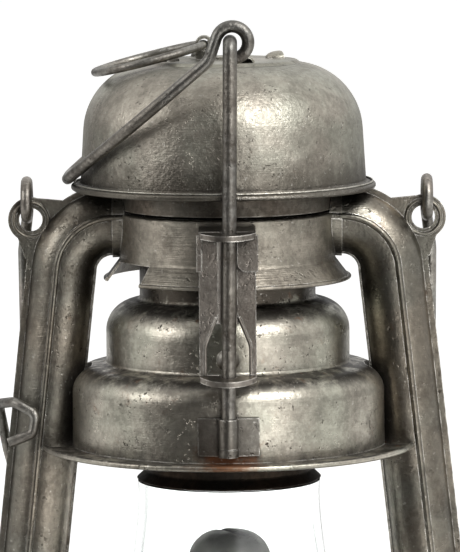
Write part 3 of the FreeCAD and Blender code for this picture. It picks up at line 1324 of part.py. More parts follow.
def build_parts():
    """Build every piece of the lantern, by name."""
    envelopes = both_envelopes(PRESS_GAP)
    front_stud = bell_stud()
    parts = {
        "tank_shell": tank_shell(),
        "tank_base": tank_base(),
        "filler_neck": filler_neck(),
        "cap_gasket": cap_gasket(),
        "filler_cap": filler_cap(),
        "air_chamber": air_chamber(envelopes),
        "burner_collar": burner_collar(),
        "burner_body": burner_body(),
        "burner_cone": burner_cone(),
        "wick_tube": wick_tube(),
        "wick": wick(),
        "wick_shaft": wick_shaft(),
        "wick_wheels": wick_wheels(),
        "wick_knob": wick_knob(),
        "globe_plate": globe_plate(),
        "globe_springs": globe_springs(),
        "globe": globe(),
        "lift_lever": lift_lever(),
        "lever_bracket": lever_bracket(),
        "bell": bell(),
        "globe_seat": globe_seat(),
        "collar": collar(envelopes),
        "intake_band": intake_band(),
        "crown_plate": crown_plate(),
        "chimney": chimney(),
        "hood": hood(),
        "hood_struts": hood_struts(),
        "ring_clip": ring_clip(),
        "hanging_ring": hanging_ring(),
        "front_bracket": bracket(ROD_LEAN),
        "rear_bracket": turned(bracket(-ROD_LEAN), 180),
        "front_bell_stud": front_stud,
        "rear_bell_stud": turned(front_stud, 180),
        "front_clip": rod_clip(ROD_LEAN),
        "rear_clip": turned(rod_clip(-ROD_LEAN), 180),
        "front_rod": rod(ROD_LEAN, 0),
        "rear_rod": turned(rod(-ROD_LEAN, REAR_PIVOT_DROP), 180),
        "lifting_bail": lifting_bail(),
        "carrying_bail": carrying_bail(),
    }
    for name, side in (("right", 1), ("left", -1)):
        for face, sign in (("front", -1), ("rear", 1)):
            parts[name + "_tube_" + face] = tube_shell(side, sign)
    return parts


def main():
    """Write one STEP file for each piece."""
    os.makedirs("parts", exist_ok=True)
    for name, shape in build_parts().items():
        print(name, "solids", len(shape.Solids), "valid", shape.isValid(), "volume", round(shape.Volume, 1))
        shape.exportStep("parts/" + name + ".step")


main()
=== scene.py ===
"""Hurricane lantern: finishes, fine pieces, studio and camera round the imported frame.

All lengths are in metres. +Z is up, +X is the lantern's right side seen from the front,
and the front faces -Y. Each sub-assembly is a class that dresses its own nodes and adds
the fine pieces that its real one has.
"""
import json
import logging
import math
from dataclasses import dataclass, field, replace
from enum import Enum
from itertools import combinations
from typing import Any, Iterable

import bmesh
import bpy
from mathutils import Matrix, Vector


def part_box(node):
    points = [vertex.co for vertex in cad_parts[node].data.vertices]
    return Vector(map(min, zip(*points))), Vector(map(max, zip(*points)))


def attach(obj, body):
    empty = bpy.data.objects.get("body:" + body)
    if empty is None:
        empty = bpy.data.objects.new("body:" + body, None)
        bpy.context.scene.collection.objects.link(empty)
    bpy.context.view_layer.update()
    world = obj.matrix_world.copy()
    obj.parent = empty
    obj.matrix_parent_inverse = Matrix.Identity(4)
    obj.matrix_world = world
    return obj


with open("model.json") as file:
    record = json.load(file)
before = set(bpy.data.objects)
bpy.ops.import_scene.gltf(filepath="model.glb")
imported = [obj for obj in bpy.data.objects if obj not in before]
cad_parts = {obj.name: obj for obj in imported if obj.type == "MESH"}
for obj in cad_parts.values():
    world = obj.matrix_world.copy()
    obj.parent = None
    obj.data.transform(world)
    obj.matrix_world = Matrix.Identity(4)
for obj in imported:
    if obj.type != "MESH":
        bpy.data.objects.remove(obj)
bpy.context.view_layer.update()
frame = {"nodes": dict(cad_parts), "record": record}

logging.basicConfig(level=logging.INFO, format="%(message)s")
LOG = logging.getLogger("lantern")
BODY_NODES: dict[str, list[str]] = frame["record"]["behaviour"]["bodies"]

MM = 0.001
Color = tuple[float, float, float]


class Slot(Enum):
    """Two of the record's material slot names; no piece here takes them."""

    SHEET = "tinned_sheet"
    COTTON = "wick_cotton"


@dataclass(frozen=True)
class Patches:
    """A noise, and the range of its value over which patches go from none to full."""

    waves: float
    detail: float
    rough: float
    none: float
    full: float


TONE = Patches(42.0, 3.0, 0.55, 0.38, 0.62)
TARNISH_CLOUDS = Patches(95.0, 5.0, 0.62, 0.60, 0.34)
TARNISH_SPECKS = Patches(620.0, 4.0, 0.7, 0.62, 0.40)
PIT_CLUSTERS = Patches(210.0, 5.0, 0.75, 0.50, 0.64)
LEDGE_DIRT = Patches(150.0, 5.0, 0.7, 0.34, 0.56)
WORN_STRETCHES = Patches(300.0, 4.0, 0.65, 0.36, 0.58)
RUBBED_SPOTS = Patches(820.0, 2.0, 0.55, 0.66, 0.74)
GLASS_FILM = Patches(70.0, 4.0, 0.55, 0.45, 0.75)

# Noises of the surface's height: waves per metre, detail and roughness.
PEEL_GRAIN = (1050.0, 3.0, 0.6)
DENT_GRAIN = (75.0, 3.0, 0.5)
LINE_GRAIN = (1.0, 4.0, 0.7)
# Stretch of the fine lines left by spinning, per metre: they run level round the piece.
LINE_STRETCH = (60.0, 60.0, 2400.0)

# Ragged edges: waves per metre, and how far they reach.
HEIGHT_SHADE_EDGE = (130.0, 16 * MM)
CORNER_EDGE = (260.0, 0.5)
GLOSS_GRAIN = (380.0, 0.30)

# Rust patches: the noise, the range from none to full on a sheet with no share of rust, how far a
# full share lowers both ends, the part under painted corner shade and ledge dirt, and the largest share.
RUST_GRAIN = (170.0, 5.0, 0.7)
RUST_RANGE = (0.68, 0.76)
RUST_SPREAD = (0.14, 0.10)
RUST_IN_SHADE_AND_DIRT = 0.7
RUST_TOP = 0.8

# The rust streak: waves per metre, how ragged it is and how wide its full core is, as
# shares of its reach, and its largest share.
STREAK_WAVES = 400.0
STREAK_RAGGED = 1.6
STREAK_CORE = 0.3
STREAK_TOP = 0.85

# Pits: waves per metre of the noise that pulls them out of round, its pull, and a pit's
# size as a share of its cell.
PIT_WOBBLE = 900.0
PIT_PULL = 2.2 * MM
PIT_CELL = 0.75

# Ranges from none to full.
CORNER_OPEN = (0.80, 0.38)
LEDGE_UPWARD = (0.35, 0.9)
EDGE_TURN = (0.985, 0.84)
PIT_DISTANCE = (0.42, 0.16)
GLASS_EDGE = (0.50, 0.95)


class Graph:
    """A node tree with short ways to add nodes and join them."""

    def __init__(self, tree: bpy.types.NodeTree) -> None:
        """Empty the tree.

        Args:
            tree: The material's or the world's node tree.
        """
        self.tree = tree
        tree.nodes.clear()

    def put(self, socket: bpy.types.NodeSocket, value: Any) -> None:
        """Join a socket to another one, or set its own value.

        Args:
            socket: The input.
            value: An output socket, a number, a vector or a colour.
        """
        if isinstance(value, bpy.types.NodeSocket):
            self.tree.links.new(value, socket)
        elif isinstance(value, (tuple, list)) and len(socket.default_value) == len(value) + 1:
            socket.default_value = (*value, 1.0)
        else:
            socket.default_value = value

    def add(self, kind: str, inputs: dict[Any, Any] | None = None, **settings: Any) -> bpy.types.Node:
        """Add a node.

        Args:
            kind: Blender's name of the node.
            inputs: Values or sockets by input name or number.
            settings: The node's own settings.

        Returns:
            The new node.
        """
        node = self.tree.nodes.new(kind)
        for name, value in settings.items():
            setattr(node, name, value)
        for name, value in (inputs or {}).items():
            self.put(node.inputs[name], value)
        return node

    def math(self, operation: str, *values: Any, clamp: bool = False) -> bpy.types.NodeSocket:
        """Add a Math node.

        Args:
            operation: Its operation.
            values: Its inputs in order.
            clamp: Whether the result is kept between 0 and 1.

        Returns:
            The result's socket.
        """
        inputs = dict(enumerate(values))
        return self.add("ShaderNodeMath", inputs, operation=operation, use_clamp=clamp).outputs[0]

    def blend(self, factor: Any, first: Any, second: Any) -> bpy.types.NodeSocket:
        """Mix two colours.

        Args:
            factor: The share of the second one.
            first: A colour or its socket.
            second: A colour or its socket.

        Returns:
            The mixed colour's socket.
        """
        node = self.add("ShaderNodeMix", data_type="RGBA")
        for index, value in ((0, factor), (6, first), (7, second)):
            self.put(node.inputs[index], value)
        return node.outputs[2]

    def noise(self, vector: Any, waves: float, detail: float = 4.0,
              rough: float = 0.55) -> bpy.types.NodeSocket:
        """Add a noise of a given number of waves per metre.

        Args:
            vector: The coordinates.
            waves: Waves per metre.
            detail: Blender's detail.
            rough: Blender's roughness.

        Returns:
            The noise's value socket.
        """
        inputs = {"Vector": vector, "Scale": waves, "Detail": detail, "Roughness": rough}
        return self.add("ShaderNodeTexNoise", inputs).outputs["Fac"]

    def ragged(self, vector: Any, waves: float, reach: float, detail: float = 5.0,
               rough: float = 0.7) -> bpy.types.NodeSocket:
        """Add a noise that goes up and down round zero.

        Args:
            vector: The coordinates.
            waves: Waves per metre.
            reach: The distance between its lowest and highest value.
            detail: Blender's detail.
            rough: Blender's roughness.

        Returns:
            The noise's socket.
        """
        centred = self.math("SUBTRACT", self.noise(vector, waves, detail, rough), 0.5)
        return self.math("MULTIPLY", centred, reach)

    def patches(self, vector: Any, kind: Patches, top: float = 1.0) -> bpy.types.NodeSocket:
        """Add patches.

        Args:
            vector: The coordinates.
            kind: Their noise and range.
            top: Their largest share.

        Returns:
            The share's socket.
        """
        noise = self.noise(vector, kind.waves, kind.detail, kind.rough)
        return self.band(noise, kind.none, kind.full, top)

    def band(self, value: Any, low: float, high: float, top: float = 1.0) -> bpy.types.NodeSocket:
        """Map a value from one range to 0 to top, smoothly and clamped.

        Args:
            value: The value's socket.
            low: Where the result is 0.
            high: Where the result is top.
            top: The largest result.

        Returns:
            The result's socket.
        """
        inputs = {"Value": value, "From Min": low, "From Max": high, "To Min": 0.0, "To Max": top}
        if low > high:
            inputs.update({"From Min": high, "From Max": low, "To Min": top, "To Max": 0.0})
        return self.add("ShaderNodeMapRange", inputs, interpolation_type="SMOOTHSTEP").outputs[0]


def new_material(name: str) -> tuple[bpy.types.Material, Graph]:
    """Make an empty material.

    Args:
        name: The material's name.

    Returns:
        The material and its graph.
    """
    material = bpy.data.materials.new(name)
    material.use_nodes = True
    return material, Graph(material.node_tree)


@dataclass(frozen=True)
class SheetFinish:
    """Aged tinned sheet: tarnish clouds, dark pits, painted shade in corners, dirt on ledges and bright worn
    edges.
    """

    name: str
    cool: Color = (0.30, 0.31, 0.26)
    warm: Color = (0.37, 0.31, 0.27)
    dark: Color = (0.055, 0.045, 0.036)
    worn: Color = (0.78, 0.75, 0.69)
    rust: Color = (0.19, 0.075, 0.028)
    roughness: float = 0.36
    tarnish: float = 0.75
    pits: float = 0.6
    pit_size: float = 1.1 * MM
    peel: float = 0.35
    dents: float = 0.5
    # Strength and reach of the painted shade that an occlusion test puts in corners.
    shade_and_dirt: float = 0.9
    shade_reach: float = 10 * MM
    shelf_dirt: float = 0.0
    rust_share: float = 0.0
    scratches: float = 0.3
    edge: float = 0.6 * MM
    edge_wear: float = 0.9
    # Painted shade towards one height: its share, and the heights where it is full and where it is none.
    height_shade: float = 0.0
    height_shade_full: float = 0.0
    height_shade_none: float = 1.0
    rust_spot: tuple[float, float, float] | None = None
    rust_reach: float = 12 * MM
    pit_tone: float = 0.45
    pit_share: float = 0.85
    # Tone and loss of metal under the painted corner shade and the ledge dirt.
    shade_and_dirt_tone: float = 0.35
    shade_and_dirt_matte: float = 0.45
    cloud_share: float = 0.62
    rubbed: float = 0.25
    worn_gloss: float = 0.10
    # How much the painted corner shade, the ledge dirt and the tarnish dull the gloss.
    shade_dirt_tarnish_dulls: float = 0.22
    dent_depth: float = 3.0
    pit_depth: float = 0.8
    relief: float = 0.25 * MM

    def material(self) -> bpy.types.Material:
        """Build the finish.

        Returns:
            The material.
        """
        material, g = new_material(self.name)
        place = g.add("ShaderNodeTexCoord").outputs["Object"]
        normal = g.add("ShaderNodeNewGeometry").outputs["Normal"]
        color = g.blend(g.patches(place, TONE), self.cool, self.warm)
        tarnish = self._tarnish(g, place)
        color = g.blend(tarnish, color, self.dark)
        # Painted shade: the sheet darkens towards one height.
        if self.height_shade > 0:
            color = g.blend(self._height_shade(g, place), color, self.dark)
        pit = self._pits(g, place)
        pit_dark = tuple(self.pit_tone * part for part in self.dark)
        color = g.blend(g.math("MULTIPLY", pit, self.pit_share), color, pit_dark)
        # Painted shade: corners found by an occlusion test are darkened, together with real dirt on upward
        # ledges.
        shade_and_dirt = self._shade_and_dirt(g, place, normal)
        color = g.blend(shade_and_dirt, color, tuple(self.shade_and_dirt_tone * part for part in self.dark))
        if self.rust_share > 0:
            color = g.blend(self._rust(g, place, shade_and_dirt), color, self.rust)
        if self.rust_spot:
            color = g.blend(self._streak(g, place), color, self.rust)
        wear = self._wear(g, place, normal)
        color = g.blend(wear, color, self.worn)
        rough = self._roughness(g, place, wear, g.math("MAXIMUM", shade_and_dirt, tarnish))
        metal = g.math("SUBTRACT", 1.0, g.math("MULTIPLY", shade_and_dirt, self.shade_and_dirt_matte))
        normal = self._bump(g, place, pit)
        inputs = {"Base Color": color, "Metallic": metal, "Roughness": rough, "Normal": normal}
        shader = g.add("ShaderNodeBsdfPrincipled", inputs)
        g.add("ShaderNodeOutputMaterial", {"Surface": shader.outputs[0]})
        return material

    def _tarnish(self, g: Graph, place: Any) -> bpy.types.NodeSocket:
        """Cloud the tin with brown-black tarnish, coarse and fine.

        Args:
            g: The material's graph.
            place: Object coordinates.

        Returns:
            The share of tarnish.
        """
        clouds = g.math("MULTIPLY", g.patches(place, TARNISH_CLOUDS), self.cloud_share)
        specks = g.math("MULTIPLY", g.patches(place, TARNISH_SPECKS), 1.0 - self.cloud_share)
        both = g.math("ADD", clouds, specks)
        return g.math("MULTIPLY", both, self.tarnish)

    def _height_shade(self, g: Graph, place: Any) -> bpy.types.NodeSocket:
        """Paint shade on the sheet towards one height, with a ragged edge.

        Args:
            g: The material's graph.
            place: Object coordinates.

        Returns:
            The share of painted shade.
        """
        height = g.add("ShaderNodeSeparateXYZ", {0: place}).outputs["Z"]
        edge = g.math("ADD", height, g.ragged(place, *HEIGHT_SHADE_EDGE))
        return g.band(edge, self.height_shade_none, self.height_shade_full, self.height_shade)

    def _pits(self, g: Graph, place: Any) -> bpy.types.NodeSocket:
        """Scatter clusters of small dark pits.

        Args:
            g: The material's graph.
            place: Object coordinates.

        Returns:
            The share of pits.
        """
        inputs = {"Vector": place, "Scale": PIT_WOBBLE, "Detail": 2.0}
        wobble = g.add("ShaderNodeTexNoise", inputs).outputs["Color"]
        pull = g.add("ShaderNodeVectorMath", {0: wobble, 3: PIT_PULL}, operation="SCALE").outputs[0]
        moved = g.add("ShaderNodeVectorMath", {0: place, 1: pull}, operation="ADD").outputs[0]
        inputs = {"Vector": moved, "Scale": PIT_CELL / self.pit_size}
        cells = g.add("ShaderNodeTexVoronoi", inputs).outputs["Distance"]
        spot = g.math("MULTIPLY", g.band(cells, *PIT_DISTANCE), g.patches(place, PIT_CLUSTERS))
        return g.math("MULTIPLY", spot, self.pits, clamp=True)

    def _shade_and_dirt(self, g: Graph, place: Any, normal: Any) -> bpy.types.NodeSocket:
        """Paint shade into corners found by an occlusion test, and settle dirt on the ledges inside them.

        Args:
            g: The material's graph.
            place: Object coordinates.
            normal: The surface's direction.

        Returns:
            The share of painted corner shade and ledge dirt.
        """
        # Painted shade: the occlusion test finds corners and crevices, where shade falls.
        inputs = {"Distance": self.shade_reach}
        hollow = g.add("ShaderNodeAmbientOcclusion", inputs, samples=8).outputs["AO"]
        hollow = g.math("ADD", hollow, g.ragged(place, *CORNER_EDGE))
        corner = g.math("MULTIPLY", g.band(hollow, *CORNER_OPEN), self.shade_and_dirt)
        if self.shelf_dirt <= 0:
            return corner
        upward = g.band(g.add("ShaderNodeSeparateXYZ", {0: normal}).outputs["Z"], *LEDGE_UPWARD)
        shelf = g.math("MULTIPLY", g.math("MULTIPLY", upward, g.patches(place, LEDGE_DIRT)), self.shelf_dirt)
        return g.math("MAXIMUM", corner, shelf)

    def _rust(self, g: Graph, place: Any, shade_and_dirt: Any) -> bpy.types.NodeSocket:
        """Bloom rust in patches, most of it under the painted corner shade and the ledge dirt.

        Args:
            g: The material's graph.
            place: Object coordinates.
            shade_and_dirt: The share of painted corner shade and ledge dirt.

        Returns:
            The share of rust.
        """
        none, full = (start - self.rust_share * drop for start, drop in zip(RUST_RANGE, RUST_SPREAD))
        patch = g.patches(place, Patches(*RUST_GRAIN, none, full))
        near = g.math("ADD", g.math("MULTIPLY", shade_and_dirt, RUST_IN_SHADE_AND_DIRT), 1.0 - RUST_IN_SHADE_AND_DIRT)
        return g.math("MULTIPLY", g.math("MULTIPLY", patch, near), RUST_TOP)

    def _streak(self, g: Graph, place: Any) -> bpy.types.NodeSocket:
        """Spread one ragged rust streak round a spot.

        Args:
            g: The material's graph.
            place: Object coordinates.

        Returns:
            The share of rust.
        """
        inputs = {0: place, 1: self.rust_spot}
        away = g.add("ShaderNodeVectorMath", inputs, operation="DISTANCE").outputs["Value"]
        ragged = g.ragged(place, STREAK_WAVES, STREAK_RAGGED * self.rust_reach, rough=0.75)
        edge = g.math("ADD", away, ragged)
        return g.band(edge, self.rust_reach, STREAK_CORE * self.rust_reach, STREAK_TOP)

    def _wear(self, g: Graph, place: Any, normal: Any) -> bpy.types.NodeSocket:
        """Find the edges that handling has rubbed bright.

        Args:
            g: The material's graph.
            place: Object coordinates.
            normal: The surface's direction.

        Returns:
            The share of worn metal.
        """
        soft = g.add("ShaderNodeBevel", {"Radius": self.edge}, samples=4).outputs[0]
        same = g.add("ShaderNodeVectorMath", {0: soft, 1: normal}, operation="DOT_PRODUCT").outputs["Value"]
        edge = g.band(same, *EDGE_TURN)
        bright = g.math("MULTIPLY", g.patches(place, WORN_STRETCHES), self.edge_wear)
        rubbed = g.math("MULTIPLY", g.patches(place, RUBBED_SPOTS), self.rubbed)
        return g.math("MAXIMUM", g.math("MULTIPLY", edge, bright), rubbed)

    def _roughness(self, g: Graph, place: Any, wear: Any, dull: Any) -> bpy.types.NodeSocket:
        """Vary the gloss with the fine grain, the wear, the tarnish, and the painted corner shade with the
        ledge dirt.

        Args:
            g: The material's graph.
            place: Object coordinates.
            wear: The share of worn metal.
            dull: The larger of the tarnish and the painted corner shade with ledge dirt.

        Returns:
            The roughness's socket.
        """
        rough = g.math("ADD", g.ragged(place, *GLOSS_GRAIN), self.roughness)
        rough = g.math("SUBTRACT", rough, g.math("MULTIPLY", wear, self.worn_gloss))
        return g.math("ADD", rough, g.math("MULTIPLY", dull, self.shade_dirt_tarnish_dulls), clamp=True)

    def _bump(self, g: Graph, place: Any, pit: Any) -> bpy.types.NodeSocket:
        """Make the peel, the pits, the fine lines left by spinning and the shallow dents.

        Args:
            g: The material's graph.
            place: Object coordinates.
            pit: The share of pits.

        Returns:
            The bumped normal's socket.
        """
        along = g.add("ShaderNodeMapping", {"Vector": place, "Scale": LINE_STRETCH}).outputs[0]
        lines = g.math("MULTIPLY", g.noise(along, *LINE_GRAIN), self.scratches)
        peel = g.math("MULTIPLY", g.noise(place, *PEEL_GRAIN), self.peel)
        dents = g.math("MULTIPLY", g.noise(place, *DENT_GRAIN), self.dents * self.dent_depth)
        height = g.math("ADD", g.math("ADD", lines, peel), dents)
        height = g.math("SUBTRACT", height, g.math("MULTIPLY", pit, self.pit_depth))
        inputs = {"Height": height, "Strength": 0.8, "Distance": self.relief}
        return g.add("ShaderNodeBump", inputs).outputs[0]


@dataclass(frozen=True)
class GlassFinish:
    """Clear blown glass, grey where it is seen edge-on."""

    name: str = "clear_blown_glass"
    clear: Color = (0.97, 0.985, 0.98)
    edge: Color = (0.20, 0.22, 0.22)
    waves: float = 45.0
    film: float = 0.03
    bending: float = 1.45

    def material(self) -> bpy.types.Material:
        """Build the finish.

        Returns:
            The material.
        """
        material, g = new_material(self.name)
        place = g.add("ShaderNodeTexCoord").outputs["Object"]
        inputs = {"Height": g.noise(place, self.waves, 1.0), "Strength": 0.06, "Distance": 0.5 * MM}
        waves = g.add("ShaderNodeBump", inputs).outputs[0]
        film = g.patches(place, GLASS_FILM, self.film)
        side = g.add("ShaderNodeLayerWeight", {"Blend": 0.5}).outputs["Facing"]
        tint = g.blend(g.band(side, *GLASS_EDGE), self.clear, self.edge)
        inputs = {"Base Color": tint, "Roughness": film, "IOR": self.bending,
                  "Transmission Weight": 1.0, "Normal": waves}
        shader = g.add("ShaderNodeBsdfPrincipled", inputs)
        g.add("ShaderNodeOutputMaterial", {"Surface": shader.outputs[0]})
        return material


@dataclass(frozen=True)
class PlainFinish:
    """A matte or metal finish with grain, for the small inner pieces."""

    name: str
    light: Color
    dark: Color
    metallic: float
    roughness: float
    grain: float = 600.0
    cloud_size: float = 6.0
    gloss_spread: float = 0.3

    def material(self) -> bpy.types.Material:
        """Build the finish.

        Returns:
            The material.
        """
        material, g = new_material(self.name)
        place = g.add("ShaderNodeTexCoord").outputs["Object"]
        clouds = Patches(self.grain / self.cloud_size, 5.0, 0.65, 0.35, 0.65)
        cloud = g.patches(place, clouds)
        fine = g.noise(place, self.grain, 3.0)
        gloss = g.math("MULTIPLY", g.math("SUBTRACT", fine, 0.5), self.gloss_spread)
        rough = g.math("ADD", gloss, self.roughness, clamp=True)
        bump = g.add("ShaderNodeBump", {"Height": fine, "Strength": 0.3, "Distance": 0.2 * MM}).outputs[0]
        inputs = {"Base Color": g.blend(cloud, self.dark, self.light), "Metallic": self.metallic,
                  "Roughness": rough, "Normal": bump}
        shader = g.add("ShaderNodeBsdfPrincipled", inputs)
        g.add("ShaderNodeOutputMaterial", {"Surface": shader.outputs[0]})
        return material


@dataclass(frozen=True)
class WickFinish:
    """Woven cotton: warp and weft ribs, charred at the top."""

    name: str = "woven_cotton"
    cloth: Color = (0.62, 0.56, 0.44)
    charred: Color = (0.03, 0.025, 0.02)
    char_from: float = 101 * MM
    char_to: float = 103 * MM
    weft: float = 7000.0
    warp: float = 6000.0

    def material(self) -> bpy.types.Material:
        """Build the finish.

        Returns:
            The material.
        """
        material, g = new_material(self.name)
        place = g.add("ShaderNodeTexCoord").outputs["Object"]
        split = g.add("ShaderNodeSeparateXYZ", {0: place}).outputs
        weft = g.math("SINE", g.math("MULTIPLY", split["Z"], self.weft))
        warp = g.math("SINE", g.math("MULTIPLY", split["X"], self.warp))
        weave = g.math("MULTIPLY", weft, warp)
        ragged = g.math("ADD", split["Z"], g.math("MULTIPLY", g.noise(place, 500.0), 2 * MM))
        burnt = g.band(ragged, self.char_from, self.char_to)
        shade = tuple(0.7 * part for part in self.cloth)
        color = g.blend(g.band(weave, -1.0, 1.0), shade, self.cloth)
        bump = g.add("ShaderNodeBump", {"Height": weave, "Strength": 0.6, "Distance": 0.2 * MM}).outputs[0]
        inputs = {"Base Color": g.blend(burnt, color, self.charred), "Roughness": 0.95, "Normal": bump}
        shader = g.add("ShaderNodeBsdfPrincipled", inputs)
        g.add("ShaderNodeOutputMaterial", {"Surface": shader.outputs[0]})
        return material


HOOD_SHEET = SheetFinish("hood_sheet", cool=(0.38, 0.37, 0.31), warm=(0.42, 0.385, 0.325), pits=0.8,
                         pit_size=0.9 * MM, peel=0.9, tarnish=0.52, scratches=0.35, rust_share=0.3,
                         edge_wear=1.0)
BELL_SHEET = SheetFinish("bell_sheet", cool=(0.45, 0.44, 0.365), warm=(0.49, 0.45, 0.38), pits=1.0,
                         pit_size=0.8 * MM, roughness=0.28, tarnish=0.55, shelf_dirt=0.95, rust_share=0.5,
                         shade_reach=6 * MM, edge_wear=1.0)
TUBE_SHEET = SheetFinish("tube_sheet", cool=(0.21, 0.20, 0.168), warm=(0.255, 0.225, 0.182), tarnish=0.66,
                         rust_share=0.3, shade_reach=6 * MM, peel=0.4, edge_wear=1.0, dents=0.4,
                         roughness=0.29)
COLLAR_SHEET = SheetFinish("collar_sheet", cool=(0.32, 0.30, 0.25), warm=(0.355, 0.32, 0.265), scratches=0.7,
                           rust_share=0.3, tarnish=0.62, edge_wear=1.0)
STRAP_SHEET = SheetFinish("strap_sheet", cool=(0.23, 0.21, 0.185), warm=(0.26, 0.23, 0.20), roughness=0.32,
                          tarnish=0.55, shade_reach=4 * MM, edge_wear=1.0)
# Painted light: a lighter copy of the strap's sheet with no corner shade, so the groove behind the rod,
# which lies in shade, looks as light as the strap.
GROOVE_LIT_SHEET = replace(STRAP_SHEET, name="groove_lit_sheet", cool=(0.46, 0.43, 0.39), warm=(0.50, 0.45, 0.40),
                       shade_and_dirt=0.0, tarnish=0.2)
CLIP_SHEET = SheetFinish("clip_sheet", cool=(0.16, 0.152, 0.135), warm=(0.19, 0.172, 0.148), roughness=0.32,
                         tarnish=0.65, shade_reach=3 * MM, edge_wear=1.0, rust_share=0.4)
TANK_SHEET = SheetFinish("tank_sheet", cool=(0.33, 0.32, 0.27), warm=(0.37, 0.34, 0.285), tarnish=0.65,
                         shelf_dirt=0.3, rust_share=0.35, edge_wear=1.0)
SOOT_SHEET = SheetFinish("soot_sheet", cool=(0.040, 0.034, 0.028), warm=(0.07, 0.05, 0.036),
                         dark=(0.012, 0.010, 0.008), worn=(0.09, 0.08, 0.07), roughness=0.55, rust_share=0.3)
# Painted shade: a dark copy of the tinned sheet for the recessed intake band and the pieces inside the
# collar and under the hood, which lie in shade.
SHADED_INNER_SHEET = SheetFinish("shaded_inner_sheet", cool=(0.14, 0.13, 0.11), warm=(0.18, 0.15, 0.12),
                          worn=(0.4, 0.38, 0.34), roughness=0.45)
WIRE_STEEL = SheetFinish("wire_steel", cool=(0.20, 0.195, 0.18), warm=(0.25, 0.23, 0.20),
                         worn=(0.50, 0.48, 0.44), tarnish=0.85, pits=0.9, peel=0.9, roughness=0.32,
                         shade_reach=2 * MM)
THIN_WIRE = SheetFinish("thin_wire", cool=(0.28, 0.275, 0.25), warm=(0.33, 0.30, 0.265), tarnish=0.75,
                        roughness=0.34, shade_reach=2 * MM)
BURNER_SHEET = PlainFinish("burner_sheet", (0.17, 0.17, 0.15), (0.08, 0.08, 0.07), 0.85, 0.55)
BRASS = PlainFinish("aged_brass", (0.42, 0.31, 0.13), (0.2, 0.14, 0.07), 1.0, 0.42)
RUBBER = PlainFinish("black_rubber", (0.035, 0.035, 0.035), (0.02, 0.02, 0.02), 0.0, 0.8)


def body_of(node: str) -> str:
    """Tell which body a CAD node rides on.

    Args:
        node: The node's name.

    Returns:
        The body's name.
    """
    return next(name for name, nodes in BODY_NODES.items() if node in nodes)


def dress(finish: Any, nodes: Iterable[str]) -> None:
    """Give a finish to CAD nodes and report them.

    Args:
        finish: A finish with a material method.
        nodes: The nodes' names.
    """
    material = finish.material()
    for name in nodes:
        for place in frame["nodes"][name].material_slots:
            place.material = material
        LOG.info("  %s: %s", name, material.name)


class Recipe:
    """A Geometry Nodes tree with named inputs, which ends in plain faces of one material."""

    def __init__(self, name: str, sizes: dict[str, float], finish: Any) -> None:
        """Start the tree.

        Args:
            name: The piece's name.
            sizes: Named inputs and their values; whole numbers become integer inputs.
            finish: The finish of the piece.
        """
        self.name = name
        self.sizes = sizes
        self.material = finish.material()
        self.tree = bpy.data.node_groups.new(name + "_recipe", "GeometryNodeTree")
        self.sockets: dict[str, str] = {}
        for label, value in sizes.items():
            kind = "NodeSocketInt" if isinstance(value, int) else "NodeSocketFloat"
            socket = self.tree.interface.new_socket(label, in_out="INPUT", socket_type=kind)
            self.sockets[label] = socket.identifier
        self.tree.interface.new_socket("Geometry", in_out="OUTPUT", socket_type="NodeSocketGeometry")
        self.inputs = self.tree.nodes.new("NodeGroupInput").outputs

    def add(self, kind: str, inputs: dict[Any, Any] | None = None, **settings: Any) -> bpy.types.Node:
        """Add a node.

        Args:
            kind: Blender's name of the node.
            inputs: Values or sockets by input name or number.
            settings: The node's own settings.

        Returns:
            The new node.
        """
        node = self.tree.nodes.new(kind)
        for name, value in settings.items():
            setattr(node, name, value)
        for name, value in (inputs or {}).items():
            if isinstance(value, bpy.types.NodeSocket):
                self.tree.links.new(value, node.inputs[name])
            else:
                node.inputs[name].default_value = value
        return node

    def vector(self, x: Any, y: Any, z: Any) -> bpy.types.NodeSocket:
        """Join three values into a vector.

        Args:
            x: The first value or socket.
            y: The second value or socket.
            z: The third value or socket.

        Returns:
            The vector's socket.
        """
        return self.add("ShaderNodeCombineXYZ", {0: x, 1: y, 2: z}).outputs[0]

    def bake(self, shape: bpy.types.NodeSocket, body: str) -> bpy.types.Object:
        """End the tree, make its plain mesh and attach the piece to its body.

        Args:
            shape: The finished geometry.
            body: The body that the piece rides on.

        Returns:
            The piece.
        """
        solid = self.add("GeometryNodeRealizeInstances", {0: shape}).outputs[0]
        smooth = self.add("GeometryNodeSetShadeSmooth", {0: solid}).outputs[0]
        inputs = {"Geometry": smooth, "Material": self.material}
        done = self.add("GeometryNodeSetMaterial", inputs).outputs[0]
        self.tree.links.new(done, self.tree.nodes.new("NodeGroupOutput").inputs[0])
        host = bpy.data.objects.new(self.name + "_host", bpy.data.meshes.new(self.name + "_host"))
        bpy.context.scene.collection.objects.link(host)
        modifier = host.modifiers.new("recipe", "NODES")
        modifier.node_group = self.tree
        for label, identifier in self.sockets.items():
            modifier[identifier] = self.sizes[label]
        view = bpy.context.evaluated_depsgraph_get()
        mesh = bpy.data.meshes.new_from_object(host.evaluated_get(view), depsgraph=view)
        host.modifiers.remove(modifier)
        bpy.data.objects.remove(host)
        piece = bpy.data.objects.new(self.name, mesh)
        bpy.context.scene.collection.objects.link(piece)
        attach(piece, body)
        LOG.info("  %s: %d faces", self.name, len(mesh.polygons))
        return piece


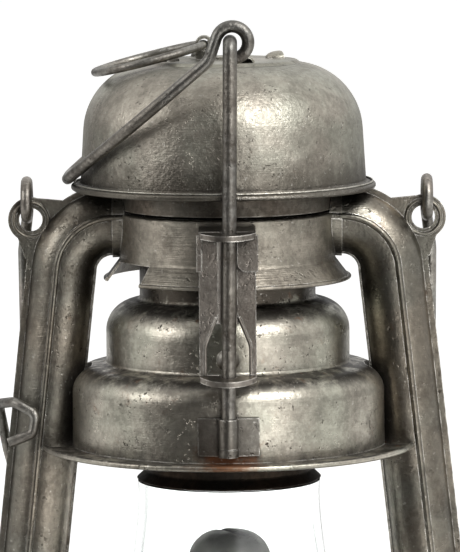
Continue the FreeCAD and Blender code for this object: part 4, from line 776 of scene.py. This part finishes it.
def bead_ring(name: str, radius: float, height: float, wire: float, middle_x: float, finish: Any,
              body: str) -> None:
    """Lay a thin round bead along a circle.

    Args:
        name: The piece's name.
        radius: The circle's radius.
        height: The circle's height.
        wire: The bead's radius.
        middle_x: The circle's middle in x.
        finish: The bead's finish.
        body: The body that it rides on.
    """
    sizes = {"Radius": radius, "Height": height, "Wire": wire, "Middle": middle_x, "Steps": 144, "Sides": 8}
    recipe = Recipe(name, sizes, finish)
    inputs = {"Resolution": recipe.inputs["Steps"], "Radius": recipe.inputs["Radius"]}
    path = recipe.add("GeometryNodeCurvePrimitiveCircle", inputs).outputs[0]
    lift = recipe.vector(recipe.inputs["Middle"], 0.0, recipe.inputs["Height"])
    path = recipe.add("GeometryNodeTransform", {"Geometry": path, "Translation": lift}).outputs[0]
    inputs = {"Resolution": recipe.inputs["Sides"], "Radius": recipe.inputs["Wire"]}
    section = recipe.add("GeometryNodeCurvePrimitiveCircle", inputs).outputs[0]
    tube = recipe.add("GeometryNodeCurveToMesh", {"Curve": path, "Profile Curve": section})
    recipe.bake(tube.outputs[0], body)


@dataclass
class Tank:
    """The fount with its filler."""

    sheet: tuple[str, ...] = ("tank_shell", "tank_base", "filler_cap")

    def build(self) -> None:
        """Dress the fount, its neck, seal and cap."""
        dress(TANK_SHEET, self.sheet)
        dress(BRASS, ["filler_neck"])
        dress(RUBBER, ["cap_gasket"])


@dataclass
class Burner:
    """The burner, its wick and the chamber below it."""

    threads: int = 17
    thread_radius: float = 0.16 * MM
    thread_length: float = 0.8 * MM
    thread_rise: float = 0.15 * MM
    thread_inset: float = 0.6 * MM
    thread_tip: float = 0.3
    thread_lean: float = 0.25
    seed: int = 7
    wick_thick: float = 2.5 * MM
    char_depth: tuple[float, float] = (2.5 * MM, 0.5 * MM)

    def build(self) -> None:
        """Dress the burner, and fray the wick's top."""
        dress(TANK_SHEET, ["air_chamber", "wick_knob"])
        dress(BRASS, ["burner_collar", "burner_body", "wick_tube", "wick_wheels"])
        dress(BURNER_SHEET, ["burner_cone"])
        dress(THIN_WIRE, ["wick_shaft"])
        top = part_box("wick")[1][2]
        dress(WickFinish(char_from=top - self.char_depth[0], char_to=top - self.char_depth[1]), ["wick"])
        self.fringe(top)

    def fringe(self, top: float) -> None:
        """Fray the wick's top edge into short charred threads.

        Args:
            top: The height of the wick's top.
        """
        sizes = {"Threads": self.threads, "Thread radius": self.thread_radius,
                 "Thread length": self.thread_length}
        recipe = Recipe("wick_fringe", sizes, WickFinish("charred_threads", char_from=0.0, char_to=0.001))
        points = [v.co for v in frame["nodes"]["wick"].data.vertices if v.co.z > top - self.thread_radius]
        corners = max(combinations(points, 2), key=lambda pair: (pair[0] - pair[1]).length)
        ends = []
        for corner in corners:
            near = [point for point in points if (point - corner).length < self.wick_thick]
            ends.append(sum(near, Vector()) / len(near))
        inward = (ends[1] - ends[0]).normalized() * self.thread_inset
        drop = Vector((0.0, 0.0, self.thread_rise - self.thread_length))
        start, end = ends[0] + inward + drop, ends[1] - inward + drop
        inputs = {"Count": recipe.inputs["Threads"], "Start Location": start, "Offset": end}
        line = recipe.add("GeometryNodeMeshLine", inputs, mode="END_POINTS").outputs[0]
        inputs = {"Vertices": 5, "Radius Top": self.thread_tip * self.thread_radius,
                  "Radius Bottom": recipe.inputs["Thread radius"], "Depth": recipe.inputs["Thread length"]}
        thread = recipe.add("GeometryNodeMeshCone", inputs).outputs[0]
        bend = self.thread_lean
        inputs = {0: (-bend, -bend, 0.0), 1: (bend, bend, 3.0), "Seed": self.seed}
        lean = recipe.add("FunctionNodeRandomValue", inputs, data_type="FLOAT_VECTOR").outputs[0]
        inputs = {"Points": line, "Instance": thread, "Rotation": lean}
        many = recipe.add("GeometryNodeInstanceOnPoints", inputs)
        recipe.bake(many.outputs[0], body_of("wick"))


@dataclass
class GlobeLift:
    """The globe, the plate that carries it and the lever that lifts it."""

    def build(self) -> None:
        """Dress the glass and its carrier."""
        dress(GlassFinish(), ["globe"])
        dress(TANK_SHEET, ["globe_plate", "globe_springs", "lever_bracket"])
        dress(THIN_WIRE, ["lift_lever"])


@dataclass
class Bell:
    """The rising bell with its seat, studs, clips and rods."""

    # Painted shadow of the collar's skirt on the bell's neck: its share, the depth below the top where it
    # fades out, and the depth where it is full.
    neck_shade: float = 0.93
    neck_shade_none: float = 21.5 * MM
    neck_shade_full: float = 18.5 * MM
    streak_drop: float = 0.8 * MM

    def build(self) -> None:
        """Dress the bell, with painted shadow on its neck, and what rises with it."""
        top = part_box("bell")[1][2]
        # Painted shadow of the collar's skirt: the neck darkens towards the bell's top.
        sheet = replace(BELL_SHEET, height_shade=self.neck_shade, height_shade_full=top - self.neck_shade_full,
                        height_shade_none=top - self.neck_shade_none)
        clip_low, clip_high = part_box("front_clip")
        spot = ((clip_low[0] + clip_high[0]) / 2, clip_low[1], clip_low[2] - self.streak_drop)
        dress(replace(sheet, rust_spot=spot), ["bell"])
        dress(CLIP_SHEET, ["front_bell_stud", "rear_bell_stud", "front_clip", "rear_clip"])
        dress(SOOT_SHEET, ["globe_seat"])
        dress(WIRE_STEEL, ["front_rod", "rear_rod"])


@dataclass
class Collar:
    """The fixed collar, the rod guides on it and the flue inside it."""

    strap_back: float = 43.78 * MM
    groove_half: float = 3.0 * MM
    groove_depth: float = 0.62 * MM
    groove_lit_sheet: float = 0.3 * MM
    groove_height: float = 23.8 * MM
    shelf: float = 0.9 * MM

    def build(self) -> None:
        """Dress the collar and its fittings."""
        dress(COLLAR_SHEET, ["collar"])
        # Painted shade: the intake band, crown plate and chimney take the dark copy of the sheet.
        dress(SHADED_INNER_SHEET, ["intake_band", "crown_plate", "chimney"])
        dress(STRAP_SHEET, ["front_bracket", "rear_bracket"])
        for side, node in ((-1, "front_bracket"), (1, "rear_bracket")):
            self.groove(node.replace("bracket", "strap_groove"), node, side)

    def groove(self, name: str, node: str, side: int) -> None:
        """Close the strap behind its rod with the shallow pressed groove that the rod runs in.

        Args:
            name: The piece's name.
            node: The strap's node.
            side: -1 for the front, 1 for the rear.
        """
        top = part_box(node)[1][2] - self.shelf
        near, far = self.strap_back, self.strap_back - self.groove_depth
        half, wall = self.groove_half, self.groove_lit_sheet
        inner = half - wall
        section = [(-half, near), (-half, far), (half, far), (half, near),
                   (inner, near), (inner, far + wall), (-inner, far + wall), (-inner, near)]
        grid = bmesh.new()
        heights = (top - self.groove_height, top)
        rows = [[grid.verts.new((x, side * y, z)) for x, y in section] for z in heights]
        for index in range(len(section)):
            after = (index + 1) % len(section)
            grid.faces.new((rows[0][index], rows[0][after], rows[1][after], rows[1][index]))
        for row in rows:
            grid.faces.new(row)
        bmesh.ops.recalc_face_normals(grid, faces=grid.faces)
        mesh = bpy.data.meshes.new(name)
        grid.to_mesh(mesh)
        grid.free()
        # Painted light: the groove takes the lightened copy of the strap's sheet.
        mesh.materials.append(GROOVE_LIT_SHEET.material())
        piece = bpy.data.objects.new(name, mesh)
        bpy.context.scene.collection.objects.link(piece)
        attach(piece, body_of(node))
        LOG.info("  %s: %d faces", name, len(mesh.polygons))


@dataclass
class Hood:
    """The domed hood on its struts, with the clip and the ring on top."""

    # Painted shade on the hood's lower wall: its share, where it is full as a share of its depth, and its
    # depth above the rim.
    height_shade: float = 0.72
    height_shade_full: float = 0.25
    height_shade_depth: float = 13 * MM
    bead: float = 0.28 * MM
    bead_in: float = 0.9 * MM
    bead_up: float = 1.9 * MM

    def build(self) -> None:
        """Dress the hood, darkened towards its rim with painted shade, and what it carries."""
        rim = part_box("hood")[0][2]
        sheet = replace(HOOD_SHEET, height_shade=self.height_shade, height_shade_full=rim + self.height_shade_full * self.height_shade_depth,
                        height_shade_none=rim + self.height_shade_depth)
        dress(sheet, ["hood"])
        dress(HOOD_SHEET, ["ring_clip"])
        # Painted shade: the struts under the hood take the dark copy of the sheet.
        dress(SHADED_INNER_SHEET, ["hood_struts"])
        dress(THIN_WIRE, ["hanging_ring"])
        low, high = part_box("hood")
        bead_ring("hood_rim_bead", (high[1] - low[1]) / 2 - self.bead_in, rim + self.bead_up, self.bead,
                  (low[0] + high[0]) / 2, HOOD_SHEET, body_of("hood"))


@dataclass
class Sides:
    """The side tubes and the two bails."""

    halves: tuple[str, ...] = ("right_tube_front", "right_tube_rear", "left_tube_front", "left_tube_rear")

    def build(self) -> None:
        """Dress the pressed halves and the wires."""
        dress(TUBE_SHEET, self.halves)
        dress(THIN_WIRE, ["carrying_bail"])
        dress(WIRE_STEEL, ["lifting_bail"])


@dataclass
class Studio:
    """Pale floor, white background, soft panels and the camera.

    Each of the lights is a panel's direction, half its width, both in radians, and its power.
    Pairs of numbers are ranges from none to full.
    """

    focal_px: float = 4600.0
    frame_px: float = 552.0
    sensor_mm: float = 36.0
    distance: float = 1.265
    elevation: float = 6.2
    roll: float = -0.45
    aim: Vector = field(default_factory=lambda: Vector((0.0007, 0.0, 0.1767)))
    floor_color: Color = (0.86, 0.86, 0.85)
    floor_reach: float = 6.0
    floor_lift: float = 0.58
    near_floor: tuple[float, float] = (0.12, 0.40)
    pool_edge: tuple[float, float] = (1.52, 1.15)
    panel_blur: tuple[float, float] = (0.14, 0.10)
    panel_foot: tuple[float, float] = (-0.15, 0.40)
    panel_top: tuple[float, float] = (0.97, 0.80)
    low_share: float = 0.38
    overhead: tuple[float, float, float] = (0.70, 0.92, 0.75)
    soft: float = 0.48
    dim: float = 0.015
    pool: float = 0.95
    floor_share: float = 0.18
    lights: tuple[tuple[float, float, float], ...] = (
        (0.47, 0.30, 2.7), (-1.62, 0.52, 1.05), (1.65, 0.74, 1.15), (3.14, 0.75, 1.0))

    def camera(self) -> None:
        """Place the camera in front and a little above."""
        data = bpy.data.cameras.new("camera")
        data.sensor_width = self.sensor_mm
        data.lens = self.sensor_mm * self.focal_px / self.frame_px
        data.dof.use_dof = False
        camera = bpy.data.objects.new("camera", data)
        bpy.context.scene.collection.objects.link(camera)
        lean = math.radians(self.elevation)
        back = Vector((0.0, -math.cos(lean), math.sin(lean)))
        camera.location = self.aim + back * self.distance
        upright = (-back).to_track_quat("-Z", "Y").to_matrix()
        tilt = Matrix.Rotation(math.radians(self.roll), 3, "Z")
        camera.rotation_euler = (upright @ tilt).to_euler()
        bpy.context.scene.camera = camera

    def panels(self, g: Graph, x: Any, y: Any) -> bpy.types.NodeSocket:
        """Find the brightness of the soft panels in one direction round the lantern.

        Args:
            g: The material's or the world's graph.
            x: The direction's x.
            y: The direction's y.

        Returns:
            The brightness.
        """
        turn = g.math("ARCTAN2", x, g.math("MULTIPLY", y, -1.0))
        level = self.dim
        for middle, half, power in self.lights:
            gap = g.math("ABSOLUTE", g.math("SUBTRACT", turn, middle))
            gap = g.math("MINIMUM", gap, g.math("SUBTRACT", 2 * math.pi, gap))
            outer, inner = half + self.panel_blur[0], half - self.panel_blur[1]
            level = g.math("ADD", level, g.band(gap, outer, inner, power))
        return level

    def floor(self) -> None:
        """Lay the pale floor, which keeps the lantern's shadow."""
        mesh = bpy.data.meshes.new("floor")
        reach = self.floor_reach
        corners = [(-reach, -reach, 0), (reach, -reach, 0), (reach, reach, 0), (-reach, reach, 0)]
        mesh.from_pydata(corners, [], [(0, 1, 2, 3)])
        floor = bpy.data.objects.new("floor", mesh)
        bpy.context.scene.collection.objects.link(floor)
        material, g = new_material("pale_floor")
        seen = g.add("ShaderNodeLightPath").outputs
        direct = g.math("MAXIMUM", seen["Is Camera Ray"], seen["Is Transmission Ray"])
        spot = g.add("ShaderNodeSeparateXYZ", {0: g.add("ShaderNodeTexCoord").outputs["Object"]}).outputs
        squares = g.math("ADD", g.math("POWER", spot["X"], 2.0), g.math("POWER", spot["Y"], 2.0))
        away = g.math("SQRT", squares)
        far = g.math("MULTIPLY", g.band(away, *self.near_floor), seen["Is Glossy Ray"])
        pool = g.math("ADD", g.band(away, *self.pool_edge, self.pool), self.floor_share)
        mirrored = g.math("MULTIPLY", self.panels(g, spot["X"], spot["Y"]), g.math("MULTIPLY", pool, far))
        color = g.blend(far, self.floor_color, (0.0, 0.0, 0.0))
        inputs = {"Base Color": color, "Roughness": 0.9, "Emission Color": (1.0, 1.0, 0.99),
                  "Emission Strength": g.math("ADD", g.math("MULTIPLY", direct, self.floor_lift), mirrored)}
        shader = g.add("ShaderNodeBsdfPrincipled", inputs)
        g.add("ShaderNodeOutputMaterial", {"Surface": shader.outputs[0]})
        mesh.materials.append(material)

    def world(self) -> None:
        """Make the white background, and the panels that the metal mirrors."""
        world = bpy.data.worlds.new("studio")
        world.use_nodes = True
        bpy.context.scene.world = world
        g = Graph(world.node_tree)
        way = g.add("ShaderNodeSeparateXYZ", {0: g.add("ShaderNodeTexCoord").outputs["Generated"]}).outputs
        level = self.panels(g, way["X"], way["Y"])
        low = self.low_share
        rise = g.math("ADD", g.band(way["Z"], *self.panel_foot, 1.0 - low), low)
        up = g.band(way["Z"], *self.overhead)
        head = g.band(way["Z"], *self.panel_top)
        sides = g.math("MULTIPLY", level, g.math("MULTIPLY", rise, head))
        mirrored = g.math("ADD", sides, up)
        seen = g.add("ShaderNodeLightPath").outputs
        direct = g.math("MAXIMUM", seen["Is Camera Ray"], seen["Is Transmission Ray"])
        strength = g.math("ADD", g.math("MULTIPLY", seen["Is Glossy Ray"], mirrored),
                          g.math("MULTIPLY", seen["Is Diffuse Ray"], self.soft))
        strength = g.math("ADD", strength, direct)
        shader = g.add("ShaderNodeBackground", {"Color": (1.0, 1.0, 0.995), "Strength": strength})
        g.add("ShaderNodeOutputWorld", {"Surface": shader.outputs[0]})

    def lamps(self) -> None:
        """Hang the key panel at the upper right and a weak one at the left."""
        for name, place, size, power in (
            ("key_panel", (0.75, -1.0, 1.25), 0.45, 13.0),
            ("left_panel", (-1.2, -0.6, 0.7), 0.7, 5.0),
        ):
            data = bpy.data.lights.new(name, "AREA")
            data.size = size
            data.energy = power
            lamp = bpy.data.objects.new(name, data)
            bpy.context.scene.collection.objects.link(lamp)
            lamp.location = place
            lamp.rotation_euler = (self.aim - Vector(place)).to_track_quat("-Z", "Y").to_euler()

    def build(self) -> None:
        """Set up everything round the lantern."""
        bpy.context.scene.view_settings.view_transform = "Standard"
        self.camera()
        self.floor()
        self.world()
        self.lamps()


def main() -> None:
    """Build the sub-assemblies and the studio in order."""
    for assembly in (Tank(), Burner(), GlobeLift(), Bell(), Collar(), Hood(), Sides()):
        LOG.info("%s", type(assembly).__name__)
        assembly.build()
    Studio().build()


if __name__ == "__main__":
    main()
